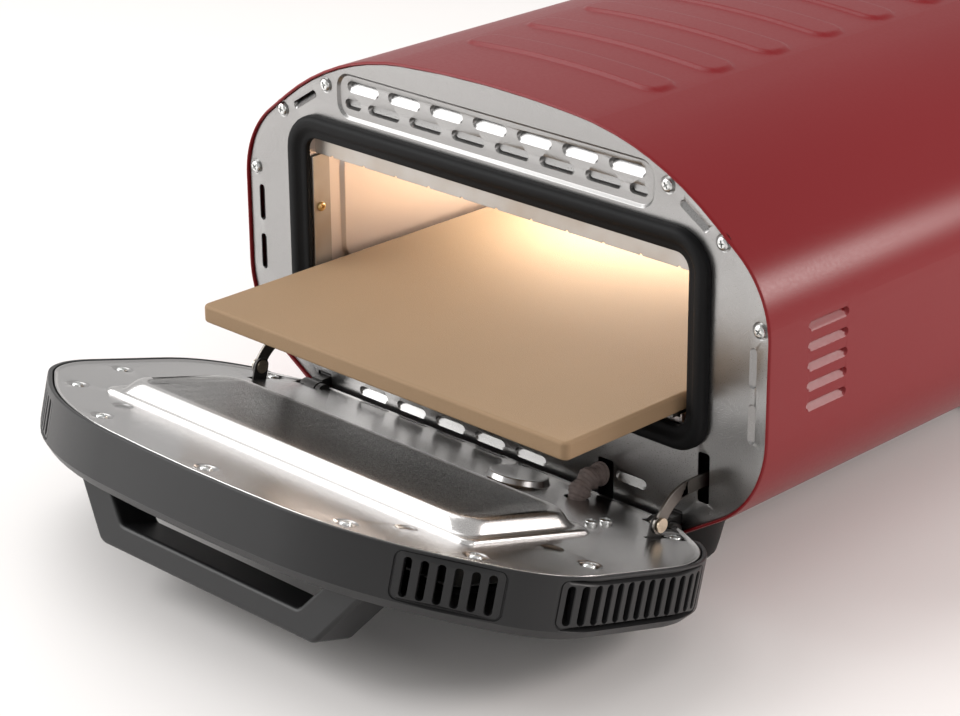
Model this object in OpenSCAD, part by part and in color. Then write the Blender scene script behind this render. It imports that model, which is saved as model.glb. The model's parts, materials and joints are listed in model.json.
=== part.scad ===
// Countertop pizza oven with a drop-down door that carries the baking stone out.
// Millimetres, +Z up. The oven's mouth faces -Y and the whole model is symmetric
// about X = 0. It is drawn with the door open at its stop and the stone out.

/* [Body] */
// Width of the body across its two upright sides
body_w = 450; // [440:1:460]
// Height of the crown of the front panel above the counter
dome_top = 287; // [285:1:290]
// Length of the body from the front panel to the rear panel
body_d = 420; // [410:1:440]
// Height of the flat underside above the counter
base_z = 38; // [37:0.5:39]
// Sheet thickness of the outer shell
shell_t = 1.2; // [1:0.1:1.5]

/* [Cavity] */
// Clear width of the mouth
mouth_w = 330; // [328:1:332]
// Lower edge of the mouth
mouth_z0 = 109; // [108:0.5:110]
// Upper edge of the mouth
mouth_z1 = 219; // [218:0.5:220]
// Depth of the cavity behind the front panel
cavity_d = 360; // [350:1:365]

/* [Baking stone] */
// Side of the square stone
stone_w = 320; // [300:1:320]
// Thickness of the stone
stone_t = 12; // [10:0.5:12]
// Height of the stone's upper face
stone_top = 130; // [129:0.5:131]
// How far the stone stands out of the front panel with the door open
stone_out = 101; // [90:1:103]

/* [Door] */
// Angle the door turns through from shut to its open stop
open_angle = 74.5; // [70:0.5:76]
// Depth of the black rim of the door
rim_depth = 36.5; // [35:0.5:37]
// Sheet thickness of the inner plate
plate_t = 0.8; // [0.6:0.1:1]
// Width of the window
window_w = 280; // [270:1:290]

/* [Hidden] */
$fn = 64;

half_w = body_w / 2;
// Dome outline: crown, shoulder and side arcs joined by tangent lines. Angles are
// those of the outline's normal, from straight up (0) to straight out (90) and down.
crown_r = 882;
shoulder_r = 201.6;
side_r = 63;
lower_r = 70.5;
crown_a = 5;
slope_a = 38;
tuck_a = 148;
lower_z = 118.4;

function n(a) = [sin(a), cos(a)];
crown_c = [0, dome_top - crown_r];
shoulder_c = crown_c + (crown_r - shoulder_r) * n(crown_a);
side_x = half_w - side_r;
side_c = [side_x, shoulder_c[1]
    + (shoulder_r - side_r - (side_x - shoulder_c[0]) * sin(slope_a)) / cos(slope_a)];
lower_c = [half_w - lower_r, lower_z];
shell_gap = 0.1;
shell_in = shell_gap;
shell_out = shell_in + shell_t;
lip_y = -1.5;

// Door, drawn shut and then turned about its hinge axis
hinge_y = -10.1;
hinge_z = 43.1;
plate_y = -6.3;
door_rise = 3;
rim_in = 1.5;
rim_out = 4.4;
rim_lip = 1;
cover_y = plate_y - rim_depth;
cover_t = 2.5;
chamfer = 6;
grille_y0 = cover_y + 7.5;
grille_y1 = plate_y - 3;
grille_z0 = 86;
grille_z1 = 211;
side_run = side_c[1] + door_rise - lower_z;
side_slot_s = 84.4;
side_slot_pitch = 9.1;

// Stone travel, from standing out of the mouth to just behind the shut door
stone_y = -stone_out;
carriage_t = 5;
rail_gap = 0.3;
stone_z = stone_top - stone_t;
carriage_z = stone_z - carriage_t;
rail_x0 = 146;
rail_x1 = 156;

cavity_w = mouth_w + 2;
cavity_t = 0.8;
cavity_y0 = 1.2;
cavity_z0 = 103.2;
cavity_z1 = mouth_z1 + 3;

// Hinges and stays, given on the right-hand side
lug_x0 = 151;
lug_x1 = 161;
ear_t = 4;
ear_gap = 0.5;
pin_r = 3;
run_fit = 0.05;
stay_x = 177;
stay_t = 2;
stay_w = 9;
stay_bend_r = 29;
stay_y = -39.1;
stay_z = 63.6;
stay_bend_c = [-13, 50.5];
stay_reach = 60;
lug_t = 1.5;

knob_x = 82;
knob_z = 102;
knob_r = 20;
knob_h = 14;
spindle_r = 3;
lens_r = 4;
sleeve_x = 100;
sleeve_bend_r = 19;
sleeve_r = 4.5;

spacer_h = 18;
// The origin is on the counter, below the middle of the oven with its door open
door_reach = -hinge_y + (dome_top + door_rise + rim_out - hinge_z) * sin(open_angle)
    + (hinge_y - cover_y - chamfer) * cos(open_angle);
y_shift = (door_reach - body_d - spacer_h) / 2;

// ---------------------------------------------------------------- helpers
module placed() translate([0, y_shift, 0]) children();

module opened() translate([0, hinge_y, hinge_z]) rotate([open_angle, 0, 0])
    translate([0, -hinge_y, -hinge_z]) children();

module door() placed() opened() children();

// Extrudes an XZ drawing from y0 to y1
module along_y(y0, y1) translate([0, y0, 0]) rotate([90, 0, 0]) mirror([0, 0, 1])
    linear_extrude(y1 - y0) children();

// Extrudes a YZ drawing from x0 to x1
module along_x(x0, x1) translate([x0, 0, 0]) rotate([90, 0, 90])
    linear_extrude(x1 - x0) children();

module block(x0, x1, y0, y1, z0, z1) translate([x0, y0, z0]) cube([x1 - x0, y1 - y0, z1 - z0]);

module both() {
    children();
    mirror([1, 0, 0]) children();
}

module rounded(x0, z0, x1, z1, r) {
    translate([x0 + r, z0]) square([x1 - x0 - 2 * r, z1 - z0]);
    translate([x0, z0 + r]) square([x1 - x0, z1 - z0 - 2 * r]);
    for (x = [x0 + r, x1 - r], z = [z0 + r, z1 - r]) translate([x, z]) circle(r);
}

module stadium(len, wid) {
    square([len - wid, wid], center = true);
    for (s = [-1, 1]) translate([s * (len - wid) / 2, 0]) circle(d = wid, $fn = 32);
}

// Points along an arc of the outline, between two angles of its normal
function arc(c, r, a0, a1, steps) = [for (i = [0 : steps]) c + r * n(a0 + (a1 - a0) * i / steps)];

// Right half of the dome outline from the crown down, grown by d and raised by rise
function half_dome(d, rise) = let(
    up = [0, rise],
    tuck = lower_c + (lower_r + d) * n(tuck_a),
    z_bottom = base_z - d,
    x_bottom = tuck[0] + cos(tuck_a) * (tuck[1] - z_bottom) / sin(tuck_a))
    concat(
        arc(crown_c + up, crown_r + d, 0, crown_a, 4),
        arc(shoulder_c + up, shoulder_r + d, crown_a + 2.75, slope_a, 11),
        arc(side_c + up, side_r + d, slope_a, 90, 13),
        arc(lower_c, lower_r + d, 90, tuck_a, 14),
        [[x_bottom, z_bottom]]);

function reversed(v) = [for (i = [len(v) - 1 : -1 : 1]) [-v[i][0], v[i][1]]];

module dome(d = 0, rise = 0) polygon(concat(half_dome(d, rise), reversed(half_dome(d, rise))));

module door_dome(d = 0) dome(d, door_rise);

// ---------------------------------------------------------------- body
vent_n = 5;
vent_pitch = 12.7;
vent_z0 = 130;
vent_y0 = 32;
vent_y1 = 69;
vent_h = 4.5;

module outer_shell() placed() color("firebrick") difference() {
    along_y(lip_y, body_d) difference() {
        dome(shell_out);
        dome(shell_in);
        translate([-120, base_z - 5]) square([240, 5 + shell_in]);
    }
    both() for (i = [0 : vent_n - 1])
        along_x(half_w - 2, half_w + 6) translate([(vent_y0 + vent_y1) / 2, vent_z0 + i * vent_pitch])
            stadium(vent_y1 - vent_y0, vent_h);
}

// Louvres of the front panel
top_pitch = 37.7;
low_pitch = 36;
louvre_l = 26;
louvre_h = 3;
side_slot_x = 213.4;
slot_l = 25;
slot_h = 4;
screw_at = [[189, 232], [146.4, 257.3], [218, 185.5]];

// A row of louvres, which leaves out any that would meet the cable sleeve's window
module louvre_row(count, pitch, z) for (i = [0 : count - 1]) {
    x = (i - (count - 1) / 2) * pitch;
    if (z > mouth_z0 || abs(x - sleeve_x) > louvre_l / 2 + 16) translate([x, z]) stadium(louvre_l, louvre_h);
}

module arm_slot() rounded(173.6, 64, 182.8, 97, 2);

module hinge_window() translate([lug_x0 - 1.5, 43.5]) square([lug_x1 - lug_x0 + 3, 10]);

module sleeve_window() translate([sleeve_x - 6.5, 41]) square([13, 28]);

module front_panel() placed() color("silver") along_y(0, 1) difference() {
    dome(0);
    rounded(-cavity_w / 2, mouth_z0 - 2, cavity_w / 2, mouth_z1 + 2, 8);
    both_2d() {
        for (p = screw_at) translate(p) circle(d = 4, $fn = 32);
        for (z = [126, 161.1]) translate([side_slot_x, z]) rotate(90) stadium(slot_l, slot_h);
        translate([167, 243]) rotate(-slope_a + 6) stadium(slot_l, slot_h);
        arm_slot();
        hinge_window();
    }
    sleeve_window();
    louvre_row(7, top_pitch, 260);
    louvre_row(6, top_pitch, 247.5);
    louvre_row(7, low_pitch, 50.5);
    louvre_row(6, low_pitch, 60);
}

module both_2d() {
    children();
    mirror([1, 0]) children();
}

inlet_x = 120;
inlet_z = 75;
rear_screw_at = [[205, 190], [205, 110], [100, 262], [110, 48]];

module rear_panel() placed() color("silver") along_y(body_d - 1, body_d) difference() {
    dome(0);
    for (r = [0 : 3], c = [-5 : 5]) translate([c * 24, 180 + r * 14]) stadium(16, 4);
    translate([inlet_x, inlet_z]) square([29, 25], center = true);
    both_2d() for (p = rear_screw_at) translate(p) circle(d = 3.4, $fn = 32);
}

module base_pan() placed() color("dimgray") {
    block(-119, 119, 1.2, body_d - 1.2, base_z, base_z + 1.2);
    both() block(107, 118, 1.2, body_d - 1.2, base_z + 1.2, base_z + 2.4);
}

foot_x = 132;
foot_y = [45, body_d - 45];
pad_h = 2;

module foot(x, y) placed() color([0.08, 0.08, 0.08]) translate([x, y, pad_h])
    cylinder(r1 = 15, r2 = 24, h = base_z - shell_out - pad_h);

module foot_front_left() foot(-foot_x, foot_y[0]);
module foot_front_right() foot(foot_x, foot_y[0]);
module foot_rear_left() foot(-foot_x, foot_y[1]);
module foot_rear_right() foot(foot_x, foot_y[1]);

module foot_pads() placed() color("dimgray") for (x = [-foot_x, foot_x], y = foot_y)
    translate([x, y, 0]) cylinder(r = 13, h = pad_h);

// ---------------------------------------------------------------- cavity
module cavity_ceiling() placed() color("gainsboro")
    block(-cavity_w / 2, cavity_w / 2, cavity_y0, cavity_d, cavity_z1, cavity_z1 + cavity_t);

module cavity_floor() placed() color("gainsboro")
    block(-cavity_w / 2, cavity_w / 2, cavity_y0, cavity_d, cavity_z0 - cavity_t, cavity_z0);

module cavity_wall() difference() {
    block(cavity_w / 2, cavity_w / 2 + cavity_t, cavity_y0, cavity_d,
        cavity_z0 - cavity_t, cavity_z1 + cavity_t);
    along_x(cavity_w / 2 - 1, cavity_w / 2 + 2) translate([14, 190]) circle(d = 4, $fn = 32);
}
module cavity_wall_left() placed() color("gainsboro") mirror([1, 0, 0]) cavity_wall();
module cavity_wall_right() placed() color("gainsboro") cavity_wall();

upper_z = 211;
lower_heat_z = 108;
heater_r = 3.2;
heater_y0 = 40;
heater_y1 = cavity_d + 20;
upper_x = [50, 120];
lower_x = [40, 110];

module cavity_back() placed() color("gainsboro") along_y(cavity_d, cavity_d + cavity_t)
    difference() {
        translate([-cavity_w / 2 - cavity_t, cavity_z0 - cavity_t])
            square([cavity_w + 2 * cavity_t, cavity_z1 - cavity_z0 + 2 * cavity_t]);
        both_2d() {
            translate([upper_x[1], upper_z]) circle(heater_r + 1, $fn = 32);
            translate([lower_x[1], lower_heat_z]) circle(heater_r + 1, $fn = 32);
        }
    }

// The lintel hangs behind the mouth, clear of the window's ridge when the door is shut
lintel_y = 7;
lintel_z = 205.2;
module cavity_lintel() placed() color("lightgray") difference() {
    block(-cavity_w / 2, cavity_w / 2, lintel_y, lintel_y + cavity_t, lintel_z, cavity_z1);
    for (x = [-150 : 30 : 150])
        translate([x, lintel_y - 1, lintel_z]) rotate([-90, 0, 0]) cylinder(r = 1.2, h = 3, $fn = 24);
}

gasket_w = 15.8;
gasket_r = 24;
module mouth_gasket() placed() color([0.06, 0.06, 0.06]) {
    along_y(-2.5, 0) difference() {
        rounded(-mouth_w / 2 - gasket_w, mouth_z0 - gasket_w + 1.5, mouth_w / 2 + gasket_w,
            mouth_z1 + gasket_w, gasket_r);
        rounded(-mouth_w / 2, mouth_z0, mouth_w / 2, mouth_z1, 10);
    }
    along_y(-6, -2.5) difference() {
        rounded(-mouth_w / 2 - gasket_w, mouth_z0 - gasket_w + 1.5, mouth_w / 2 + gasket_w,
            mouth_z1 + gasket_w, gasket_r);
        rounded(-mouth_w / 2 - 7, mouth_z0 - 6, mouth_w / 2 + 7, mouth_z1 + 7, 15);
    }
}

// A tube bent into a W: two outer legs reach back through the cavity's rear wall
module heater(xs, z) {
    bend = (xs[1] - xs[0]) / 2;
    back = cavity_d - 60;
    both() {
        translate([xs[1], heater_y0 + bend, z]) rotate([-90, 0, 0])
            cylinder(r = heater_r, h = heater_y1 - heater_y0 - bend);
        translate([xs[0], heater_y0 + bend, z]) rotate([-90, 0, 0])
            cylinder(r = heater_r, h = back - heater_y0 - bend);
        translate([(xs[0] + xs[1]) / 2, heater_y0 + bend, z]) rotate([0, 0, 180])
            rotate_extrude(angle = 180) translate([bend, 0]) circle(heater_r, $fn = 32);
    }
    translate([0, back, z]) rotate_extrude(angle = 180) translate([xs[0], 0]) circle(heater_r, $fn = 32);
}
module upper_heater() placed() color("gray") heater(upper_x, upper_z);
module lower_heater() placed() color("gray") heater(lower_x, lower_heat_z);

module stone_rail() {
    block(rail_x0, rail_x1, 3, cavity_d - 8, cavity_z0, carriage_z - rail_gap);
    block(rail_x1 + 0.6, rail_x1 + 1.8, 3, cavity_d - 8, cavity_z0, carriage_z + 2);
    block(rail_x1 - 1, rail_x1 + 1.8, 3, cavity_d - 8, cavity_z0, cavity_z0 + 2);
}
module stone_rail_left() placed() color("silver") mirror([1, 0, 0]) stone_rail();
module stone_rail_right() placed() color("silver") stone_rail();

module insulation_top() placed() color("whitesmoke") block(-150, 150, 8, 355, cavity_z1 + 2, cavity_z1 + 22);
module insulation_side() block(186, 206, 8, 355, 102, 205);
module insulation_left() placed() color("whitesmoke") mirror([1, 0, 0]) insulation_side();
module insulation_right() placed() color("whitesmoke") insulation_side();
module insulation_back() placed() color("whitesmoke")
    block(-150, 150, cavity_d + 2, cavity_d + 20, 116, 202);

module temperature_probe() placed() color("peru") {
    translate([158, 60, 200]) rotate([-90, 0, 0]) cylinder(r = 3, h = 120);
    block(161, cavity_w / 2, 80, 86, 197, 203);
    block(161, cavity_w / 2, 150, 156, 197, 203);
}

module hinge_bracket() difference() {
    union() {
        block(143, 171, 1.1, 3.1, 46, 62);
        block(lug_x0, lug_x1, hinge_y + 3, 3.1, 44.5, 51);
        along_x(lug_x0, lug_x1) translate([hinge_y, hinge_z]) circle(7);
    }
    along_x(lug_x0 - 1, lug_x1 + 1) translate([hinge_y, hinge_z]) circle(pin_r + run_fit);
}
module hinge_bracket_left() placed() color("dimgray") mirror([1, 0, 0]) hinge_bracket();
module hinge_bracket_right() placed() color("dimgray") hinge_bracket();

module screw(p, y, head_r, shank_r, len) translate([p[0], y, p[1]]) rotate([90, 0, 0]) {
    difference() {
        cylinder(r = head_r, h = 2, $fn = 32);
        for (a = [0, 90]) translate([0, 0, 1.6]) rotate(a) cube([1.2 * head_r, 0.9, 1.6], center = true);
    }
    translate([0, 0, -len]) cylinder(r = shank_r, h = len, $fn = 32);
}

module panel_screws() placed() color("lightgray") both() for (p = screw_at) screw(p, 0, 4.2, 1.9, 6);

module rear_screws() placed() color("lightgray") translate([0, 2 * body_d, 0]) mirror([0, 1, 0])
    both() for (p = rear_screw_at) screw(p, body_d, 3.6, 1.6, 6);

module rear_spacers() placed() color("dimgray") both()
    translate([165, body_d, 215]) rotate([-90, 0, 0]) cylinder(r1 = 12, r2 = 9, h = spacer_h);

module power_inlet() placed() color([0.1, 0.1, 0.1]) {
    difference() {
        union() {
            translate([inlet_x, 0, inlet_z]) block(-25, 25, body_d, body_d + 2.5, -16, 16);
            translate([inlet_x, 0, inlet_z]) block(-14, 14, body_d - 24, body_d, -12, 12);
        }
        translate([inlet_x, 0, inlet_z]) block(-12, 12, body_d - 15, body_d + 3, -8, 8);
    }
    for (p = [[-7, -2], [0, 2], [7, -2]])
        translate([inlet_x, 0, inlet_z]) block(p[0] - 1, p[0] + 1, body_d - 16, body_d, p[1] - 3, p[1] + 3);
}

module terminal_block() placed() color("ivory") difference() {
    block(-30, 30, body_d - 32, body_d - 18, base_z + 1.2, base_z + 16);
    for (x = [-20 : 10 : 20]) translate([x, body_d - 25, base_z + 6]) cylinder(r = 3, h = 11, $fn = 24);
}

// ---------------------------------------------------------------- stone
module baking_stone() placed() color("tan") translate([0, stone_y, stone_z])
    linear_extrude(stone_t) rounded(-stone_w / 2, 0, stone_w / 2, stone_w, 10);

module stone_carriage() placed() color("gray") {
    both() block(rail_x0 + 1, rail_x1 - 1, -2, stone_y + stone_w - 4, carriage_z, stone_z);
    for (y = [25, 195]) block(-rail_x0 - 1, rail_x0 + 1, y, y + 10, carriage_z + 1, stone_z);
}

// ---------------------------------------------------------------- door
window_z0 = 134;
window_z1 = 206;
frame_w0 = 324;
frame_z0 = 116;
frame_z1 = 223;
door_screw_at = [[108.3, 266.7], [176.4, 231.4], [207, 170.3], [179.2, 60.6]];
crown_screw = [0, 276.4];
// The rim's underside stops short here, so that it passes below the panel's lip
sweep_y = -13.4;
sweep_z = base_z - rim_in + 0.1;

module hinge_notch() translate([lug_x0 - ear_gap - ear_t - 1, 20])
    square([lug_x1 - lug_x0 + 2 * (ear_gap + ear_t + 1), 33.5]);

module door_inner_plate() door() color("silver") along_y(plate_y - plate_t, plate_y) difference() {
    door_dome(0);
    rounded(-window_w / 2, window_z0, window_w / 2, window_z1, 8);
    translate(crown_screw) circle(d = 3.4, $fn = 32);
    both_2d() {
        for (p = door_screw_at) translate(p) circle(d = 3.4, $fn = 32);
        hinge_notch();
        translate([stay_x - 3, 68]) square([5, 17]);
    }
    translate([sleeve_x, hinge_z + sleeve_bend_r - 0.3]) circle(sleeve_r + 1);
}

module window_frame() door() color("lightgray") difference() {
    union() {
        along_y(plate_y, plate_y + 3) rounded(-frame_w0 / 2, frame_z0, frame_w0 / 2, frame_z1, 12);
        along_y(plate_y + 3, plate_y + 11)
            rounded(-frame_w0 / 2 + 8, frame_z0 + 7, frame_w0 / 2 - 8, frame_z1 - 7, 10);
    }
    along_y(plate_y - 1, plate_y + 12) rounded(-window_w / 2, window_z0, window_w / 2, window_z1, 8);
}

module inner_glass() door() color([0.8, 0.85, 0.85, 0.4]) along_y(plate_y - 5.5, plate_y - 1.5)
    rounded(-window_w / 2 - 8, window_z0 - 8, window_w / 2 + 8, window_z1 + 8, 6);

module outer_glass() door() color([0.15, 0.15, 0.15, 0.5]) along_y(cover_y, cover_y + 4)
    rounded(-window_w / 2 - 2, window_z0 - 2, window_w / 2 + 2, window_z1 + 2, 10);

strip_pitch = 14.2;
module door_vent_strip() door() color([0.1, 0.1, 0.1]) difference() {
    block(-window_w / 2 + 6, window_w / 2 - 6, cover_y + 5, plate_y - 6.5, window_z0 - 3, window_z0 - 0.5);
    for (i = [-8 : 8]) translate([i * strip_pitch, (cover_y + plate_y) / 2 - 1, window_z0 - 4])
        linear_extrude(5) rotate(90) stadium(19, 7);
}

// Slots spaced along the rim: s is the distance from where the straight side
// meets the lower arc, or from where the shoulder arc meets the slope
function side_at(s) = let(r = lower_r + rim_out, a = 90 - min(s, 0) / r * 180 / PI,
    q = side_r + rim_out, b = 90 - max(s - side_run, 0) / q * 180 / PI)
    s < 0 ? [lower_c + r * n(a), a]
    : s > side_run ? [side_c + [0, door_rise] + q * n(b), b]
    : [[half_w + rim_out, lower_z + s], 90];
function shoulder_at(s) = let(r = shoulder_r + rim_out, c = shoulder_c + [0, door_rise],
    a = slope_a + min(s, 0) / r * 180 / PI)
    [c + r * n(a) + max(s, 0) * [cos(slope_a), -sin(slope_a)], a];

module rim_slot(at) translate([at[0][0], (grille_y0 + grille_y1) / 2, at[0][1]])
    rotate([0, at[1], 0]) translate([0, 0, -4]) linear_extrude(6) rotate(90) stadium(grille_y1 - grille_y0 - 3, 4.6);

module rim_ring(y0, y1, d0, d1) along_y(y0, y1) difference() {
    door_dome(d1);
    door_dome(d0);
}

module side_zone(m) block(half_w - 75, half_w + 10, grille_y0 - m, grille_y1 + m, grille_z0 - m, grille_z1 + m);
module shoulder_zone(m) block(143 - m, 203 + m, grille_y0 - m, grille_y1 + m, 190, 290);

module grille_side() difference() {
    intersection() {
        rim_ring(grille_y0, grille_y1, rim_in, rim_out);
        side_zone(0);
    }
    for (i = [0 : 12]) rim_slot(side_at(side_slot_s - i * side_slot_pitch));
}
module grille_shoulder() difference() {
    intersection() {
        rim_ring(grille_y0, grille_y1, rim_in, rim_out);
        shoulder_zone(0);
    }
    for (i = [0 : 5]) rim_slot(shoulder_at(-32 + i * 9.5));
}
module grille_side_left() door() color([0.12, 0.12, 0.12]) mirror([1, 0, 0]) grille_side();
module grille_side_right() door() color([0.12, 0.12, 0.12]) grille_side();
module grille_shoulder_left() door() color([0.12, 0.12, 0.12]) mirror([1, 0, 0]) grille_shoulder();
module grille_shoulder_right() door() color([0.12, 0.12, 0.12]) grille_shoulder();

module door_cover() door() color([0.15, 0.15, 0.15]) difference() {
    union() {
        rim_ring(cover_y + chamfer, plate_y + rim_lip, rim_in, rim_out);
        rim_ring(cover_y, cover_y + chamfer, -1, 1.8);
        along_y(cover_y, cover_y + cover_t) difference() {
            door_dome(1);
            rounded(-window_w / 2 - 2, window_z0 - 2, window_w / 2 + 2, window_z1 + 2, 10);
        }
    }
    both() {
        side_zone(0);
        shoulder_zone(0);
        along_y(cover_y - 1, cover_y + 4) {
            translate([knob_x, knob_z]) circle(5);
            translate([114, 248]) circle(2.2);
        }
        block(lug_x0 - ear_gap - ear_t - 1, lug_x1 + ear_gap + ear_t + 1, hinge_y - 9, 0, 20, 53.5);
    }
    block(-half_w, half_w, sweep_y, 0, 20, sweep_z);
    along_y(cover_y - 1, cover_y + 4) translate([0, knob_z]) circle(lens_r + 0.1);
}

// Handle: a trapezoid loop standing off the cover
bar_y1 = cover_y - 24;
bar_y0 = cover_y - 40;
handle_z0 = 233;
handle_z1 = 263;
module door_handle() door() color([0.12, 0.12, 0.12]) difference() {
    translate([0, 0, handle_z0]) linear_extrude(handle_z1 - handle_z0) difference() {
        polygon([[-130, cover_y], [-99, bar_y0 + 3], [-93, bar_y0], [93, bar_y0], [99, bar_y0 + 3], [130, cover_y]]);
        polygon([[-101, cover_y + 1], [-82, bar_y1 + 2], [-78, bar_y1], [78, bar_y1], [82, bar_y1 + 2], [101, cover_y + 1]]);
    }
    both() along_y(cover_y - 16, cover_y + 1) translate([114, 248]) circle(2);
}

module handle_screws() door() color("lightgray") both()
    translate([0, 2 * (cover_y + cover_t), 0]) mirror([0, 1, 0])
        screw([114, 248], cover_y + cover_t, 4, 1.9, 16);

module plate_screws() door() color("lightgray") translate([0, 2 * plate_y, 0]) mirror([0, 1, 0]) {
    screw(crown_screw, plate_y, 3.8, 1.6, 10);
    both() for (p = door_screw_at) screw(p, plate_y, 3.8, 1.6, 10);
}

leaf_r = 6.5;
leaf_h = 38;
leaf_y0 = hinge_y - leaf_r;

module hinge_leaf() difference() {
    for (x = [lug_x0 - ear_gap - ear_t, lug_x1 + ear_gap]) along_x(x, x + ear_t) {
        translate([hinge_y, hinge_z]) circle(leaf_r);
        translate([leaf_y0, hinge_z]) square([plate_y - plate_t - leaf_y0, leaf_h]);
    }
    along_x(140, 172) translate([hinge_y, hinge_z]) circle(pin_r);
}
module hinge_bridge() block(lug_x0 - ear_gap, lug_x1 + ear_gap, leaf_y0, leaf_y0 + 2.5, 56, hinge_z + leaf_h);
module hinge_leaf_left() door() color("gray") mirror([1, 0, 0]) { hinge_leaf(); hinge_bridge(); }
module hinge_leaf_right() door() color("gray") { hinge_leaf(); hinge_bridge(); }

module hinge_pins() door() color("lightgray") both()
    along_x(lug_x0 - ear_gap - ear_t, lug_x1 + ear_gap + ear_t) translate([hinge_y, hinge_z]) circle(pin_r);

// Stay lugs and rivets, in the shut position of the door
rivet_y = 1.9;
rivet_z = 76.5;
module stay_lugs() door() color("gray") both() difference() {
    along_x(stay_x - 0.3 - lug_t, stay_x - 0.3) {
        translate([rivet_y, rivet_z]) circle(6);
        translate([-16, rivet_z - 6]) square([16 + rivet_y, 12]);
    }
    along_x(stay_x - 5, stay_x + 2) translate([rivet_y, rivet_z]) circle(pin_r);
}

module stay_rivets() door() color("lightgray") both() {
    along_x(stay_x - 0.3 - lug_t - 1, stay_x - 0.3 - lug_t) translate([rivet_y, rivet_z]) circle(4.5);
    along_x(stay_x - 0.3 - lug_t, stay_x + stay_t + 0.3) translate([rivet_y, rivet_z]) circle(pin_r);
    along_x(stay_x + stay_t + 0.3, stay_x + stay_t + 1.5) translate([rivet_y, rivet_z]) circle(4.5);
}

module control_body() {
    along_y(cover_y + 4, plate_y - 4) circle(19);
    along_y(cover_y - 11, cover_y + 4) circle(spindle_r);
}
module thermostat_body() door() color("gray") translate([knob_x, 0, knob_z]) control_body();
module timer_body() door() color("gray") translate([-knob_x, 0, knob_z]) control_body();

module indicator_lens() door() color("orangered") translate([0, 0, knob_z]) {
    along_y(cover_y - 1.5, cover_y + 10) circle(lens_r);
}

module cable_sleeve() door() color([0.35, 0.27, 0.22]) translate([sleeve_x, hinge_y, hinge_z])
    rotate([0, -90, 0]) rotate([0, 0, -95])
        rotate_extrude(angle = 80) translate([sleeve_bend_r, 0]) circle(sleeve_r, $fn = 32);

// ---------------------------------------------------------------- stays and knobs
module stay_arm() difference() {
    along_x(stay_x, stay_x + stay_t) {
        difference() {
            pie_yz(stay_bend_c, stay_bend_r + stay_w / 2);
            translate(stay_bend_c) circle(stay_bend_r - stay_w / 2);
        }
        translate([stay_bend_c[0], stay_bend_c[1] + stay_bend_r - stay_w / 2])
            square([stay_reach - stay_bend_c[0], stay_w]);
        translate([stay_y, stay_z]) circle(6);
    }
    along_x(stay_x - 1, stay_x + stay_t + 1) translate([stay_y, stay_z]) circle(pin_r + run_fit);
}
module pie_yz(c, r) intersection() {
    translate(c) circle(r, $fn = 180);
    polygon([c, [stay_y - 8, stay_z], [stay_y - 8, stay_z + 30], c + [0, 40]]);
}
module stay_arm_left() placed() color("gray") mirror([1, 0, 0]) stay_arm();
module stay_arm_right() placed() color("gray") stay_arm();

module knob() difference() {
    union() {
        along_y(cover_y - knob_h, cover_y - 0.8) circle(knob_r);
        along_y(cover_y - knob_h - 1, cover_y - knob_h) square([5, 2 * knob_r - 4], center = true);
    }
    along_y(cover_y - 11.5, cover_y) circle(spindle_r + run_fit);
}
module thermostat_knob() door() color([0.1, 0.1, 0.1]) translate([knob_x, 0, knob_z]) knob();
module timer_knob() door() color([0.1, 0.1, 0.1]) translate([-knob_x, 0, knob_z]) knob();

outer_shell();
front_panel();
rear_panel();
base_pan();
foot_front_left();
foot_front_right();
foot_rear_left();
foot_rear_right();
foot_pads();
cavity_ceiling();
cavity_floor();
cavity_wall_left();
cavity_wall_right();
cavity_back();
cavity_lintel();
mouth_gasket();
upper_heater();
lower_heater();
stone_rail_left();
stone_rail_right();
insulation_top();
insulation_left();
insulation_right();
insulation_back();
temperature_probe();
hinge_bracket_left();
hinge_bracket_right();
panel_screws();
rear_screws();
rear_spacers();
power_inlet();
terminal_block();
baking_stone();
stone_carriage();
door_inner_plate();
window_frame();
inner_glass();
outer_glass();
door_vent_strip();
door_cover();
grille_side_left();
grille_side_right();
grille_shoulder_left();
grille_shoulder_right();
door_handle();
handle_screws();
plate_screws();
hinge_leaf_left();
hinge_leaf_right();
hinge_pins();
stay_lugs();
stay_rivets();
thermostat_body();
timer_body();
indicator_lens();
cable_sleeve();
stay_arm_left();
stay_arm_right();
thermostat_knob();
timer_knob();
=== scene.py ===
# %% [markdown]
# # A countertop pizza oven
# The oven is a red sheet-metal dome with a grey steel front, a black door that drops
# down, and a baking stone that rides out as the door opens. The CAD model fixes every
# size and every joint. This lesson adds the looks: pressed louvres, rolled edges, moulded
# grilles, and a finish for each material. We load the CAD model first, because every
# piece takes its place from it.

# %% Load the fixed frame
import json
import math
from collections import namedtuple

import bmesh
import bpy
from mathutils import Matrix, Vector

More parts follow.
